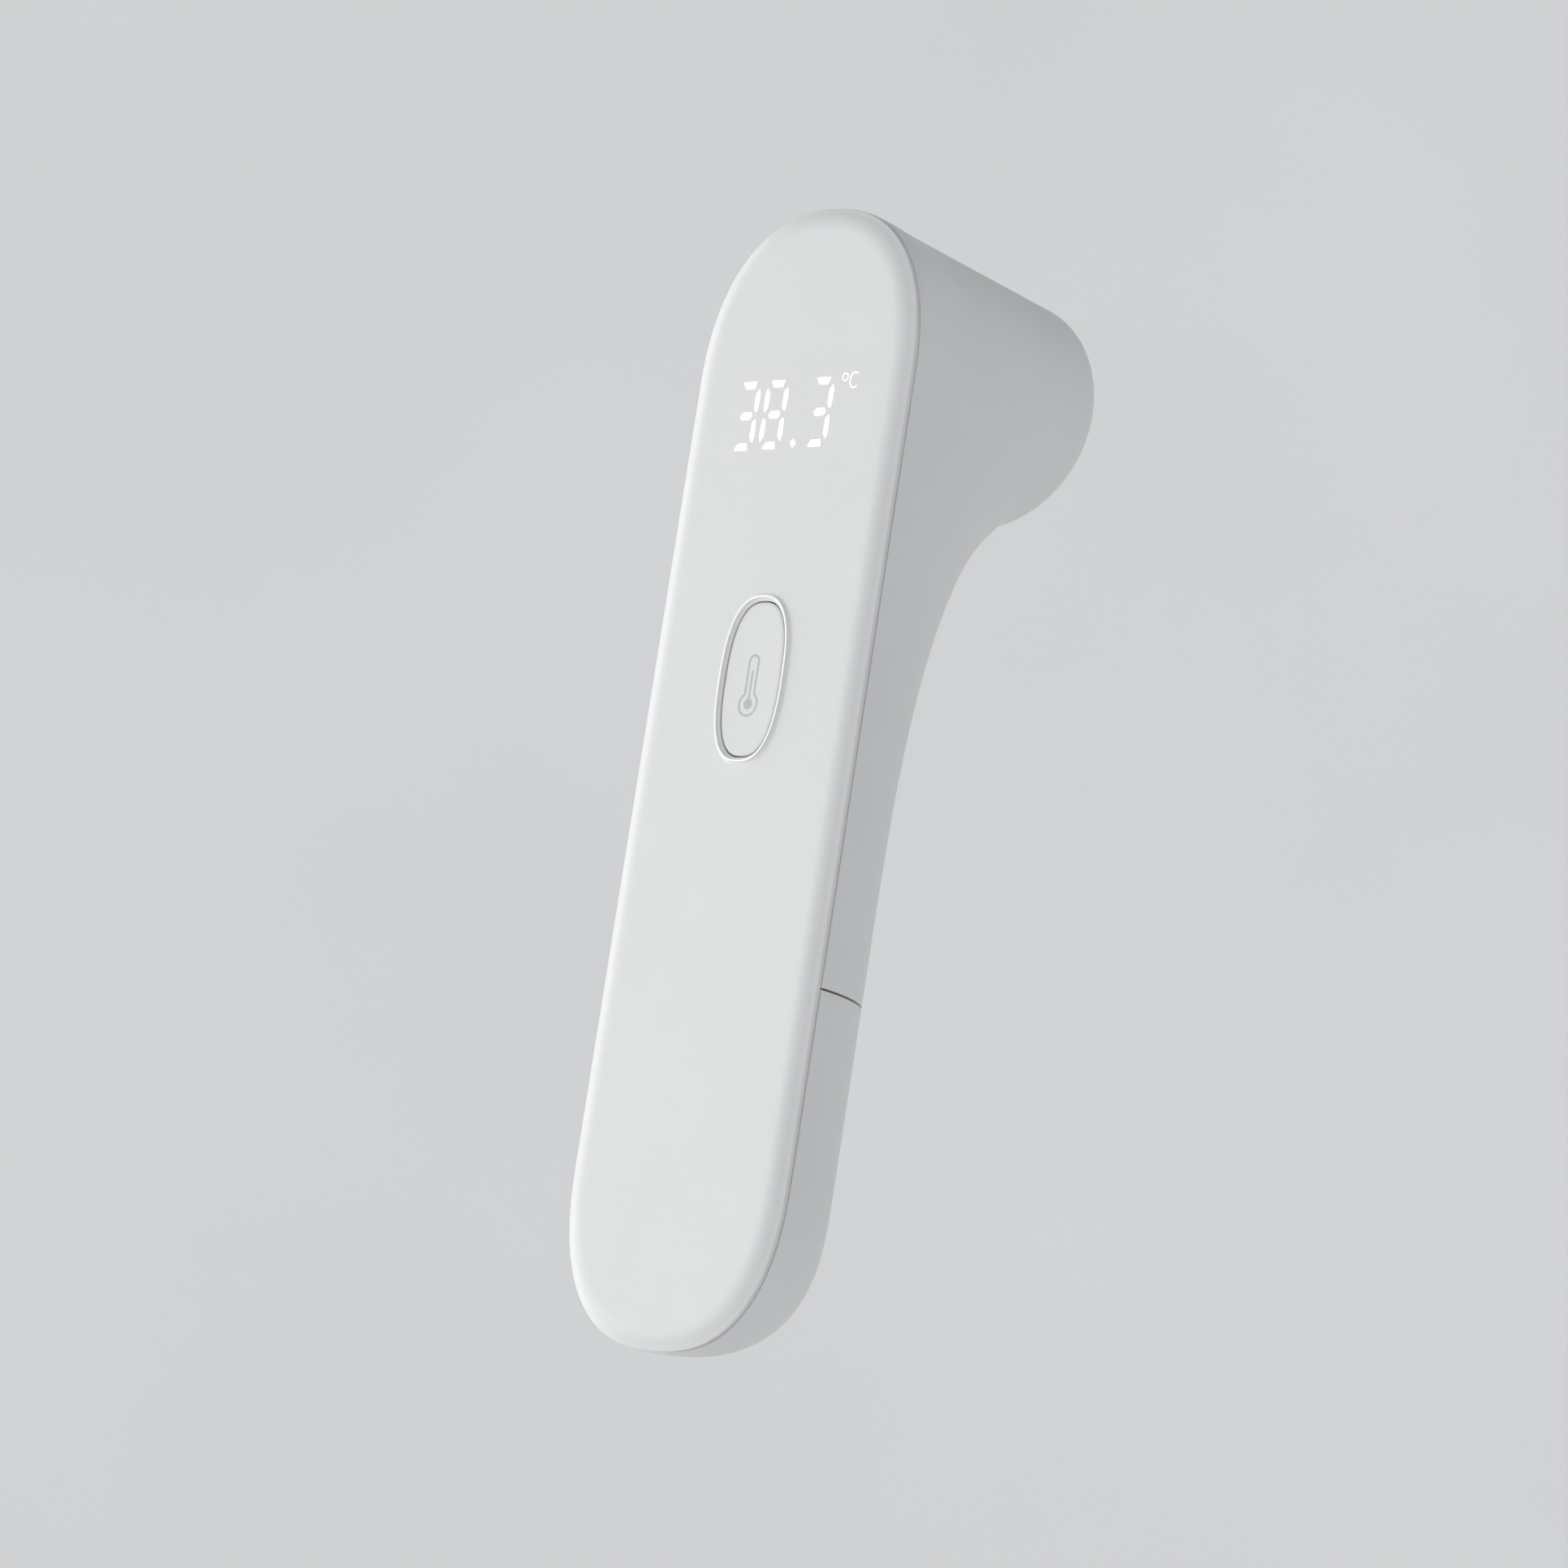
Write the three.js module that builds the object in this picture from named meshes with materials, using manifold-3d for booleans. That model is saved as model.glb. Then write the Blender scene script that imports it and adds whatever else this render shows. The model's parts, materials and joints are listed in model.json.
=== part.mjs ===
// No-touch infrared thermometer, in millimetres.
// Frame: +Z up the handle, the flat display face towards -Y, the sensor nose towards +Y, +X to the right of a
// person who reads the display. The origin is the bottom centre of the bounding box.
// Inside the group y is the depth behind the display face. The group then moves so that the whole, from the
// button's ridge to the nose, is centred.
import * as THREE from "three";
import Module from "manifold-3d";

const wasm = await Module();
wasm.setup();

// Outer body
const LENGTH = 138;
const WIDTH = 34;
const DEPTH = 40.4; // from the face to the end of the nose
const HANDLE_DEPTH = 19.7;
const TOP_END = 21.3;
const TOP_POWER = 2.3;
const BOTTOM_END = 21.4;
const BOTTOM_POWER = 2.46;
const HEEL_END = 16.4;
const HEEL_POWER = 2.45;
const NECK_START = 44;
const NECK_FULL = 92;
const NECK_DEPTH = 5.07;
const NECK_POWER = 3.46;
const FLARE_START = 95; // lower edge of the sweep under the nose
const FLARE_FULL = 108;
const FLARE_DEPTH = 2.87;
const FLARE_POWER = 2.94;
const SWEEP_LIMIT = 1.3;
const CROWN_START = 112;
const NECK_BLEND = 60;
const NOSE_RADIUS = 13.9;
const NOSE_RIM = 4;
const NOSE_DROP = 1.27;
const NOSE_SLOPE = 1.1;
const NOSE_NARROW = 0.55;
const NOSE_ROUND = 0.6;
const NOSE_OPENING = 8.6;
const NOSE_Z = LENGTH - NOSE_DROP - NOSE_RADIUS;
const WALL = 1.6;

// Front cover and the parting planes
const COVER_EDGE_IN = 2.4;
const COVER_EDGE_Y = 1.2;
const PARTING_Y = 1.5;
const FACE_WALL = 1.8;
const LIP_OUT = 2.1;
const LIP_IN = 3.1;
const LIP_Y = 3.6;
const BATTERY_SEAM_Z = 43.3;
const SEAM_GAP = 0.3;

// Measure button
const BUTTON_Z = 79.8;
const RIDGE_HALF_WIDTH = 4.95;
const RIDGE_HALF_HEIGHT = 9.95;
const RIDGE_POWER = 2.6;
const RIDGE_SLOPE = 0.45;
const RIDGE_HEIGHT = 0.6;
const BUTTON_FIT = 0.15;

// Circuit board and display
const BOARD_FRONT = 6.2;
const BOARD_THICK = 1.2;
const BOARD_BACK = BOARD_FRONT + BOARD_THICK;
const BOARD_BOTTOM = 62;
const BOARD_TOP = 124;
const BOARD_HALF = 12.6;
const DISPLAY_Z = 112.3;

// Batteries, size AAA
const CELL_RADIUS = 5.25;
const CELL_LENGTH = 44.5;
const CELL_X = 5.4;
const CELL_Y = 8.9;
const LINK_Z = 8.6;
const PLATE_THICK = 0.4;
const TOP_PLATE_Z = 55.8;

// Vibration motor
const MOTOR_Y = 11.2;
const MOTOR_Z = 70;

const CIRCLE = Math.PI * 2;

// ---------- solids ----------

function triangles(geometry) {
  const flat = geometry.index ? geometry.toNonIndexed() : geometry;
  const p = flat.getAttribute("position");
  const ids = new Map();
  const verts = [];
  const tris = [];
  for (let i = 0; i < p.count; i += 3) {
    const t = [0, 1, 2].map((k) => {
      const v = [p.getX(i + k), p.getY(i + k), p.getZ(i + k)].map((c) => Math.round(c * 1e4) / 1e4);
      const key = v.map((c) => c + 0).join();
      if (!ids.has(key)) {
        ids.set(key, verts.length / 3);
        verts.push(...v);
      }
      return ids.get(key);
    });
    if (t[0] !== t[1] && t[1] !== t[2] && t[0] !== t[2]) tris.push(...t);
  }
  return { verts, tris };
}

function solid(geometry) {
  const { verts, tris } = triangles(geometry);
  const made = new wasm.Manifold(
    new wasm.Mesh({
      numProp: 3,
      vertProperties: new Float32Array(verts),
      triVerts: new Uint32Array(tris),
    }),
  );
  if (made.volume() > 0) return made;
  for (let i = 0; i < tris.length; i += 3) {
    [tris[i + 1], tris[i + 2]] = [tris[i + 2], tris[i + 1]];
  }
  return new wasm.Manifold(
    new wasm.Mesh({
      numProp: 3,
      vertProperties: new Float32Array(verts),
      triVerts: new Uint32Array(tris),
    }),
  );
}

function geometryOf(made) {
  const mesh = made.getMesh();
  const geometry = new THREE.BufferGeometry();
  const points = new Float32Array(mesh.numVert * 3);
  for (let i = 0; i < mesh.numVert; i += 1) {
    points.set(mesh.vertProperties.subarray(i * mesh.numProp, i * mesh.numProp + 3), i * 3);
  }
  geometry.setAttribute("position", new THREE.BufferAttribute(points, 3));
  geometry.setIndex(new THREE.BufferAttribute(new Uint32Array(mesh.triVerts), 1));
  const flat = geometry.toNonIndexed();
  flat.computeVertexNormals();
  return flat;
}

// A block from its two corners.
function block(low, high) {
  const size = high.map((h, i) => h - low[i]);
  const middle = high.map((h, i) => (h + low[i]) / 2);
  return solid(new THREE.BoxGeometry(...size).translate(...middle));
}

// A solid of revolution about the depth axis through (x, z); the profile holds [radius, y] pairs.
function turnedY(profile, x, z, segments = 24) {
  const points = profile.map(([r, y]) => new THREE.Vector2(r, y));
  return solid(new THREE.LatheGeometry(points, segments).translate(x, 0, z));
}

// A solid of revolution about a vertical axis; the profile holds [radius, z] pairs.
function turnedZ(profile, x, y, segments = 24) {
  const points = profile.map(([r, z]) => new THREE.Vector2(r, z));
  return solid(new THREE.LatheGeometry(points, segments).rotateX(Math.PI / 2).translate(x, y, 0));
}

// A solid of revolution about an axis along x; the profile holds [radius, x] pairs.
function turnedX(profile, y, z, segments = 20) {
  const points = profile.map(([r, x]) => new THREE.Vector2(r, x));
  return solid(new THREE.LatheGeometry(points, segments).rotateZ(-Math.PI / 2).translate(0, y, z));
}

function rod(radius, y0, y1, x, z, segments = 20) {
  return turnedY([[0, y0], [radius, y0], [radius, y1], [0, y1]], x, z, segments);
}

// A flat shape drawn in x and z, from depth y0 to y1.
function plate(shape, y0, y1) {
  const geometry = new THREE.ExtrudeGeometry(shape, {
    depth: y1 - y0,
    bevelEnabled: false,
    curveSegments: 8,
  });
  return solid(geometry.rotateX(Math.PI / 2).translate(0, y1, 0));
}

function polygon(points) {
  return new THREE.Shape(points.map(([x, z]) => new THREE.Vector2(x, z)));
}

// Points of the button's oval: the crest line of its ridge, grown outwards by grow.
function ovalPoints(grow, count = 28) {
  return Array.from({ length: count }, (_, i) => {
    const a = (i / count) * CIRCLE;
    const part = (v) => Math.sign(v) * Math.abs(v) ** (2 / RIDGE_POWER);
    const x = (RIDGE_HALF_WIDTH + grow) * part(Math.cos(a));
    return [x, BUTTON_Z + (RIDGE_HALF_HEIGHT + grow) * part(Math.sin(a))];
  });
}

function ovalPlate(grow, y0, y1) {
  return plate(polygon(ovalPoints(grow)), y0, y1);
}

function sum(...solids) {
  return solids.reduce((a, b) => a.add(b));
}

// The skin that joins closed rings of equal point count in order.
function skin(rings) {
  const points = [];
  const quad = (a, b, c, d) => points.push(a, b, c, a, c, d);
  for (let i = 0; i + 1 < rings.length; i += 1) {
    const count = rings[i].length;
    for (let j = 0; j < count; j += 1) {
      const k = (j + 1) % count;
      quad(rings[i][j], rings[i][k], rings[i + 1][k], rings[i + 1][j]);
    }
  }
  return points;
}

// Rings joined in order, with a fan over each end.
function ringStack(rings) {
  const points = skin(rings);
  const fan = (ring, flip) => {
    const middle = ring.reduce((s, p) => s.clone().add(p), new THREE.Vector3()).divideScalar(ring.length);
    ring.forEach((p, j) => {
      const next = ring[(j + 1) % ring.length];
      points.push(...(flip ? [middle, next, p] : [middle, p, next]));
    });
  };
  fan(rings[0], true);
  fan(rings[rings.length - 1], false);
  return new THREE.BufferGeometry().setFromPoints(points);
}

// Rings joined in order and back to the first.
function ringLoop(rings) {
  return new THREE.BufferGeometry().setFromPoints(skin([...rings, rings[0]]));
}

// ---------- body shape ----------

// Half width of the face outline at height z, drawn in by inset.
function halfWidth(z, inset) {
  const end = (reach, from, power) => {
    const t = Math.min(Math.max(from / (reach - inset), 0), 1);
    return (1 - t ** power) ** (1 / power);
  };
  const top = end(TOP_END, z - (LENGTH - TOP_END), TOP_POWER);
  const bottom = end(BOTTOM_END, BOTTOM_END - z, BOTTOM_POWER);
  return (WIDTH / 2 - inset) * Math.min(top, bottom);
}

// How far z has gone from start to full, as a share that may run on to limit.
function share(z, start, full, limit) {
  return Math.min(Math.max((z - start) / (full - start), 0), limit);
}

// Squared half width of the handle behind the face, negative outside it.
function handleSection(y, z, inset) {
  const neck = NECK_DEPTH * share(z, NECK_START, NECK_FULL, SWEEP_LIMIT) ** NECK_POWER;
  const flare = FLARE_DEPTH * share(z, FLARE_START, FLARE_FULL, SWEEP_LIMIT) ** FLARE_POWER;
  const heel = share(HEEL_END - z, 0, HEEL_END - inset, 1);
  const crown = share(z, CROWN_START, LENGTH - inset, 1);
  const depth = HANDLE_DEPTH - PARTING_Y + neck + flare - inset;
  const ends = Math.max(1 - heel ** HEEL_POWER, 1e-6) ** (1 / HEEL_POWER);
  const reach = depth * ends * Math.sqrt(Math.max(1 - crown * crown, 1e-4));
  const t = (y - PARTING_Y) / reach;
  return Math.max(halfWidth(z, inset) ** 2 * (1 - t * t), -900);
}

// Squared half width of the head, which narrows from the face outline to the round nose.
function headSection(y, z, inset) {
  const nose = DEPTH - inset;
  const s = Math.min(Math.max((y - PARTING_Y) / (DEPTH - PARTING_Y), 0), 1);
  const narrow = s ** NOSE_NARROW;
  const rim = NOSE_RIM - inset;
  const m = Math.min(Math.max((y - (nose - rim)) / rim, 0), 1);
  const round = rim * (1 - Math.sqrt(Math.max(1 - m * m, 0)));
  const side = WIDTH / 2 + (NOSE_RADIUS - WIDTH / 2) * narrow - inset;
  const rise = TOP_END + (NOSE_RADIUS - TOP_END) * narrow - inset;
  const middle = LENGTH - NOSE_DROP * s ** NOSE_SLOPE - inset - rise;
  const above = z > middle;
  const power = above ? TOP_POWER + (2 - TOP_POWER) * s ** NOSE_ROUND : 2;
  const u = Math.abs(z - middle) / ((above ? rise : side) - round);
  const width = side - round;
  if (u > 1) return -width * width * (u * u - 1);
  return width * width * (1 - u ** power) ** (2 / power);
}

function section(y, z, inset) {
  const handle = handleSection(y, z, inset);
  const head = headSection(y, z, inset);
  const behindFace = Math.min(Math.max((y - PARTING_Y) / 8, 0), 1);
  const belowCrown = Math.min(Math.max((128 - z) / 12, 0), 1);
  const blend = NECK_BLEND * behindFace * belowCrown + 1e-6;
  const h = Math.max(blend - Math.abs(handle - head), 0) / blend;
  return Math.max(handle, head) + (h * h * blend) / 4;
}

// Depth at which the section at height z closes on the centre line.
function backDepth(z, inset) {
  let low = PARTING_Y;
  let high = DEPTH - inset;
  if (section(high - 1e-4, z, inset) > 0) return high;
  for (let i = 0; i < 40; i += 1) {
    const middle = (low + high) / 2;
    if (section(middle, z, inset) > 0) low = middle;
    else high = middle;
  }
  return low;
}

// Ring heights, closer together where the back or the sides turn in quickly.
function heights(inset, rings) {
  const steps = 300;
  const low = inset + 0.02;
  const high = LENGTH - inset - 0.02;
  const fine = [];
  const travel = [0];
  for (let i = 0; i <= steps; i += 1) {
    fine.push(low + ((high - low) * (1 - Math.cos((i / steps) * Math.PI))) / 2);
  }
  const back = fine.map((z) => backDepth(z, inset));
  const side = fine.map((z) => halfWidth(z, inset));
  for (let i = 1; i <= steps; i += 1) {
    const along = Math.hypot(fine[i] - fine[i - 1], back[i] - back[i - 1]);
    travel.push(travel[i - 1] + along + Math.abs(side[i] - side[i - 1]));
  }
  const list = [];
  let k = 0;
  for (let i = 0; i <= rings; i += 1) {
    const goal = (travel[steps] * i) / rings;
    while (k < steps - 1 && travel[k + 1] < goal) k += 1;
    list.push(fine[k] + ((fine[k + 1] - fine[k]) * (goal - travel[k])) / (travel[k + 1] - travel[k]));
  }
  return list;
}

// The whole body behind the parting plane, drawn in by inset and started at depth front.
function bodySolid(inset, around, front) {
  const rings = heights(inset, 54).map((z) => {
    const back = backDepth(z, inset);
    const right = [];
    for (let j = 0; j <= around; j += 1) {
      const y = PARTING_Y + (back - PARTING_Y) * Math.sin((j / around) * Math.PI * 0.5);
      const x = Math.sqrt(Math.max(section(Math.min(y, back - 1e-5), z, inset), 0));
      right.push(new THREE.Vector3(Math.max(x, 0.02), y, z));
    }
    right.unshift(new THREE.Vector3(right[0].x, front, z));
    const left = right.map((p) => new THREE.Vector3(-p.x, p.y, p.z)).reverse();
    return [...right, ...left];
  });
  return solid(ringStack(rings));
}

// The face outline drawn in by inset, at depth y.
function outline(inset, y, steps) {
  const right = [];
  const half = WIDTH / 2 - inset;
  const arc = (end, power, centre, sign) => (t) => {
    const a = t * Math.PI * 0.5;
    const x = half * Math.cos(a) ** (2 / power);
    return [x, centre + sign * (end - inset) * Math.sin(a) ** (2 / power)];
  };
  const bottom = arc(BOTTOM_END, BOTTOM_POWER, BOTTOM_END, -1);
  const top = arc(TOP_END, TOP_POWER, LENGTH - TOP_END, 1);
  for (let i = steps; i >= 0; i -= 1) right.push(bottom(i / steps));
  for (let i = 0; i <= steps; i += 1) right.push(top(i / steps));
  const left = right.slice(1, -1).map(([x, z]) => [-x, z]).reverse();
  return [...right, ...left].map(([x, z]) => new THREE.Vector3(Math.abs(x) < 1e-9 ? 0 : x, y, z));
}

// ---------- shells ----------

function frontCover() {
  const steps = 10;
  const rings = [];
  for (let i = 0; i <= 4; i += 1) {
    const a = (i / 4) * Math.PI * 0.5;
    rings.push(outline(COVER_EDGE_IN * (1 - Math.sin(a)), COVER_EDGE_Y * (1 - Math.cos(a)), steps));
  }
  rings.push(outline(LIP_OUT, COVER_EDGE_Y, steps));
  rings.push(outline(LIP_OUT, LIP_Y, steps));
  rings.push(outline(LIP_IN, LIP_Y, steps));
  rings.push(outline(LIP_IN, FACE_WALL, steps));
  const posts = screwSpots.map(([x, z, , seat]) => rod(1.6, FACE_WALL - 0.4, seat, x, z, 12));
  const holes = screwSpots.map(([x, z, , seat]) => rod(0.75, 2.4, seat + 1, x, z, 10));
  // The display pocket leaves a thin skin that the lit digits shine through.
  const pocket = block([-10.9, 0.7, DISPLAY_Z - 6.2], [10.9, 2.6, DISPLAY_Z + 6.2]);
  return sum(solid(ringStack(rings)), ...posts)
    .subtract(ovalPlate(RIDGE_SLOPE + BUTTON_FIT, -1, 5))
    .subtract(pocket)
    .subtract(sum(...holes));
}

function rearHousing(outer, inner) {
  const seam = BATTERY_SEAM_Z + SEAM_GAP / 2;
  const keep = block([-30, 0, seam], [30, 60, LENGTH + 5]);
  const skirtBand = block([-30, LIP_Y + 0.3, 41], [30, 60, seam + 0.01]);
  const fixedBand = block([-30, LIP_Y + 0.3, seam], [30, 60, 46]);
  const bore = bodySolid(2.9, 7, 0);
  const skirt = bodySolid(1.9, 7, PARTING_Y)
    .intersect(skirtBand)
    .add(bodySolid(WALL - 0.2, 7, PARTING_Y).intersect(fixedBand))
    .subtract(bore);
  const nose = rod(NOSE_OPENING, 30, 60, 0, NOSE_Z, 28);
  return outer.intersect(keep).subtract(inner).subtract(nose).add(skirt);
}

function batteryCover(outer, inner) {
  const seam = BATTERY_SEAM_Z - SEAM_GAP / 2;
  const shell = outer.intersect(block([-30, 0, -5], [30, 60, seam])).subtract(inner);
  // Three thumb ribs across the back help to push the cover down.
  const bands = [31, 34, 37].map((z) => block([-6, 10, z], [6, 30, z + 1]));
  const ribs = bodySolid(-0.35, 10, PARTING_Y).subtract(bodySolid(0.5, 10, 0));
  return shell.add(ribs.intersect(sum(...bands)));
}

// ---------- sensor nose ----------

function noseBezel() {
  const disc = turnedY(
    [
      [4.4, 37],
      [10.3, 37],
      [10.3, 38],
      [8.45, 38],
      [8.45, 39.9],
      [8.2, 40.15],
      [5.1, 39.7],
      [4.4, 39.4],
      [4.4, 37],
    ],
    0,
    NOSE_Z,
    28,
  );
  const posts = [-9, 9].map((x) => rod(1.25, 33.4, 37.3, x, NOSE_Z, 10));
  const holes = [-9, 9].map((x) => rod(0.7, 33, 36.6, x, NOSE_Z, 10));
  const window = block([-1.9, 36, NOSE_Z - 7.5], [1.9, 42, NOSE_Z - 5.7]);
  return sum(disc, ...posts).subtract(sum(...holes)).subtract(window);
}

function sensorCone() {
  return turnedY(
    [
      [3.1, 33.5],
      [4.1, 33.5],
      [4.1, 39.3],
      [3.8, 39.3],
      [3.1, 34.8],
      [3.1, 33.5],
    ],
    0,
    NOSE_Z,
    24,
  );
}

function irWindow() {
  return turnedY(
    [
      [0, 33.55],
      [2.85, 33.55],
      [2.85, 34.1],
      [2, 34.45],
      [1, 34.6],
      [0, 34.65],
    ],
    0,
    NOSE_Z,
    24,
  );
}

function irSensorCan() {
  return turnedY(
    [
      [0, 29.9],
      [4.2, 29.9],
      [4.2, 30.5],
      [2.6, 30.5],
      [2.6, 33],
      [2.3, 33.3],
      [0, 33.3],
    ],
    0,
    NOSE_Z,
    24,
  );
}

function sensorHolder() {
  const collar = turnedY(
    [
      [4.5, 28.6],
      [8, 28.6],
      [8, 33.1],
      [2.9, 33.1],
      [2.9, 30.9],
      [4.5, 30.9],
      [4.5, 28.6],
    ],
    0,
    NOSE_Z,
    28,
  );
  const ear = block([-10.6, 31.2, NOSE_Z - 1.7], [-7, 33.1, NOSE_Z + 1.7]);
  const otherEar = block([7, 31.2, NOSE_Z - 1.7], [10.6, 33.1, NOSE_Z + 1.7]);
  const clear = [-9, 9].map((x) => rod(1.35, 28, 31.2, x, NOSE_Z, 12));
  const holes = [-9, 9].map((x) => rod(0.7, 28, 34, x, NOSE_Z, 10));
  return sum(collar, ear, otherEar).subtract(sum(...clear, ...holes));
}

function sensorBoard() {
  return rod(9.6, 27, 28.2, 0, NOSE_Z, 32);
}

// ---------- handle insides ----------

// Screws that hold the boards to posts on the front cover: x, z, head seat depth, post end depth.
const screwSpots = [
  [-10.6, 64.8, BOARD_BACK, BOARD_FRONT - 0.1],
  [10.6, 64.8, BOARD_BACK, BOARD_FRONT - 0.1],
  [-10.6, 100, BOARD_BACK, BOARD_FRONT - 0.1],
  [10.6, 100, BOARD_BACK, BOARD_FRONT - 0.1],
  [-9.6, 60, 6.1, 4.8],
  [9.6, 60, 6.1, 4.8],
];

// A pan-head screw whose head rests at depth seat. Its shank points towards the face, or away from it when
// way is -1.
function screw(x, z, seat, length, way = 1) {
  const profile = [
    [0, -length],
    [0.45, -length],
    [0.6, 0.5 - length],
    [0.6, 0.05],
    [1.25, 0.05],
    [1.25, 0.55],
    [0.9, 0.85],
    [0, 0.85],
  ];
  return turnedY(profile.map(([r, d]) => [r, seat + way * d]), x, z, 10);
}

function mainBoard() {
  const c = 2;
  const edge = polygon([
    [-BOARD_HALF + c, BOARD_BOTTOM],
    [BOARD_HALF - c, BOARD_BOTTOM],
    [BOARD_HALF, BOARD_BOTTOM + c],
    [BOARD_HALF, BOARD_TOP - 2 * c],
    [BOARD_HALF - 2 * c, BOARD_TOP],
    [-BOARD_HALF + 2 * c, BOARD_TOP],
    [-BOARD_HALF, BOARD_TOP - 2 * c],
    [-BOARD_HALF, BOARD_BOTTOM + c],
  ]);
  const holes = screwSpots.slice(0, 4).map(([x, z]) => rod(0.8, 0, 20, x, z, 12));
  return plate(edge, BOARD_FRONT, BOARD_BACK).subtract(sum(...holes));
}

// The lit bars of one seven-segment digit whose lower left corner is at (x, z).
function digit(x, z, lit, y0, y1) {
  const [w, h, t] = [3.85, 8.65, 0.95];
  const bars = {
    top: [0, h - t, w, h],
    middle: [0, h / 2 - t / 2, w, h / 2 + t / 2],
    bottom: [0, 0, w, t],
    upperLeft: [0, h / 2, t, h],
    upperRight: [w - t, h / 2, w, h],
    lowerLeft: [0, 0, t, h / 2],
    lowerRight: [w - t, 0, w, h / 2],
  };
  const boxes = lit.map((name) => {
    const [x0, z0, x1, z1] = bars[name];
    return block([x + x0, y0, z + z0], [x + x1, y1, z + z1]);
  });
  return sum(...boxes);
}

// The display block: a light box with raised light guides in the shape of the digits.
function displayModule() {
  const base = block([-10.4, 2.9, DISPLAY_Z - 5.7], [10.4, BOARD_FRONT - 0.1, DISPLAY_Z + 5.7]);
  const z = DISPLAY_Z - 4.33;
  const three = ["top", "middle", "bottom", "upperRight", "lowerRight"];
  const eight = [...three, "upperLeft", "lowerLeft"];
  const degree = turnedY([[0.25, 1], [0.55, 1], [0.55, 3], [0.25, 3], [0.25, 1]], 7.34, z + 8.45, 10);
  const letter = block([8.1, 1, z + 7.1], [9.6, 3, z + 9]);
  return sum(
    base,
    digit(-9.65, z, three, 1, 3),
    digit(-5.15, z, eight, 1, 3),
    digit(2.1, z, three, 1, 3),
    rod(0.5, 1, 3, 0.53, z + 0.6, 10),
    degree,
    letter.subtract(block([8.6, 0, z + 7.6], [10, 4, z + 8.5])),
  );
}

function displayGasket() {
  const frame = block([-11.9, 2.1, DISPLAY_Z - 7], [11.9, 5.9, DISPLAY_Z + 7]);
  return frame.subtract(block([-10.6, 1, DISPLAY_Z - 5.9], [10.6, 8, DISPLAY_Z + 5.9]));
}

// The fixed ridge around the button, with a flange behind the face.
function buttonRing() {
  const section = [
    [RIDGE_SLOPE, 0],
    [0.08, -RIDGE_HEIGHT],
    [-0.08, -RIDGE_HEIGHT],
    [-RIDGE_SLOPE, 0],
    [-RIDGE_SLOPE, 2.6],
    [1.6, 2.6],
    [1.6, FACE_WALL + 0.15],
    [RIDGE_SLOPE, FACE_WALL + 0.15],
  ];
  const rings = section.map(([grow, y]) => ovalPoints(grow).map(([x, z]) => new THREE.Vector3(x, y, z)));
  return solid(ringLoop(rings));
}

// The pressed cap: a hollow oval, a flange that stops it behind the ridge, and a post for the switch.
function buttonCap() {
  const edge = -RIDGE_SLOPE - BUTTON_FIT;
  const body = ovalPlate(edge, 0, 3.3);
  const hollow = ovalPlate(edge - 0.9, 1.1, 4);
  const flange = ovalPlate(0.3, 2.8, 3.3);
  const post = rod(1.3, 0.8, 3.65, 0, BUTTON_Z, 16);
  return sum(body, flange).subtract(hollow).add(post);
}

function tactSwitch() {
  const body = block([-3, 4.4, BUTTON_Z - 3], [3, BOARD_FRONT - 0.05, BUTTON_Z + 3]);
  return body.subtract(rod(1.75, 3, 5.95, 0, BUTTON_Z, 16));
}

function tactPlunger() {
  return turnedY([[0, 3.7], [1.5, 3.7], [1.6, 3.8], [1.6, 5.3], [0, 5.3]], 0, BUTTON_Z, 16);
}

function batteryCradle() {
  const low = LINK_Z - 1.4;
  const high = TOP_PLATE_Z + 2.3;
  const floor = polygon([
    [-7.8, low],
    [7.8, low],
    [12.2, low + 7.5],
    [12.2, high],
    [-12.2, high],
    [-12.2, low + 7.5],
  ]);
  const tray = sum(
    plate(floor, 2.2, 3.3),
    block([-12.2, 2.2, low + 8], [-11.1, 8.3, high]),
    block([11.1, 2.2, low + 8], [12.2, 8.3, high]),
    block([-7.8, 2.2, low], [7.8, 9.6, low + 1.1]),
    block([-12.2, 2.2, high - 1.2], [12.2, 10.5, high]),
    block([-12.2, 4.9, high - 0.4], [-7.4, 6.1, high + 3.6]),
    block([7.4, 4.9, high - 0.4], [12.2, 6.1, high + 3.6]),
  );
  const slots = [-CELL_X, CELL_X].map((x) => block([x - 1.8, 7.1, high - 3], [x + 1.8, 8.3, high + 3]));
  const holes = screwSpots.slice(4).map(([x, z]) => rod(0.8, 4, 8, x, z, 12));
  return tray.subtract(sum(...slots, ...holes));
}

// An AAA cell standing on its flat end at z, or on its button end when flipped.
function cell(x, z, flipped) {
  const body = CELL_LENGTH - 1;
  const up = [
    [0, 0],
    [CELL_RADIUS - 0.4, 0],
    [CELL_RADIUS, 0.4],
    [CELL_RADIUS, body - 0.4],
    [CELL_RADIUS - 0.4, body],
    [1.9, body],
    [1.9, CELL_LENGTH],
    [0, CELL_LENGTH],
  ];
  const profile = flipped ? up.map(([r, h]) => [r, CELL_LENGTH - h]).reverse() : up;
  return turnedZ(profile.map(([r, h]) => [r, z + h]), x, CELL_Y, 24);
}

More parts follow.
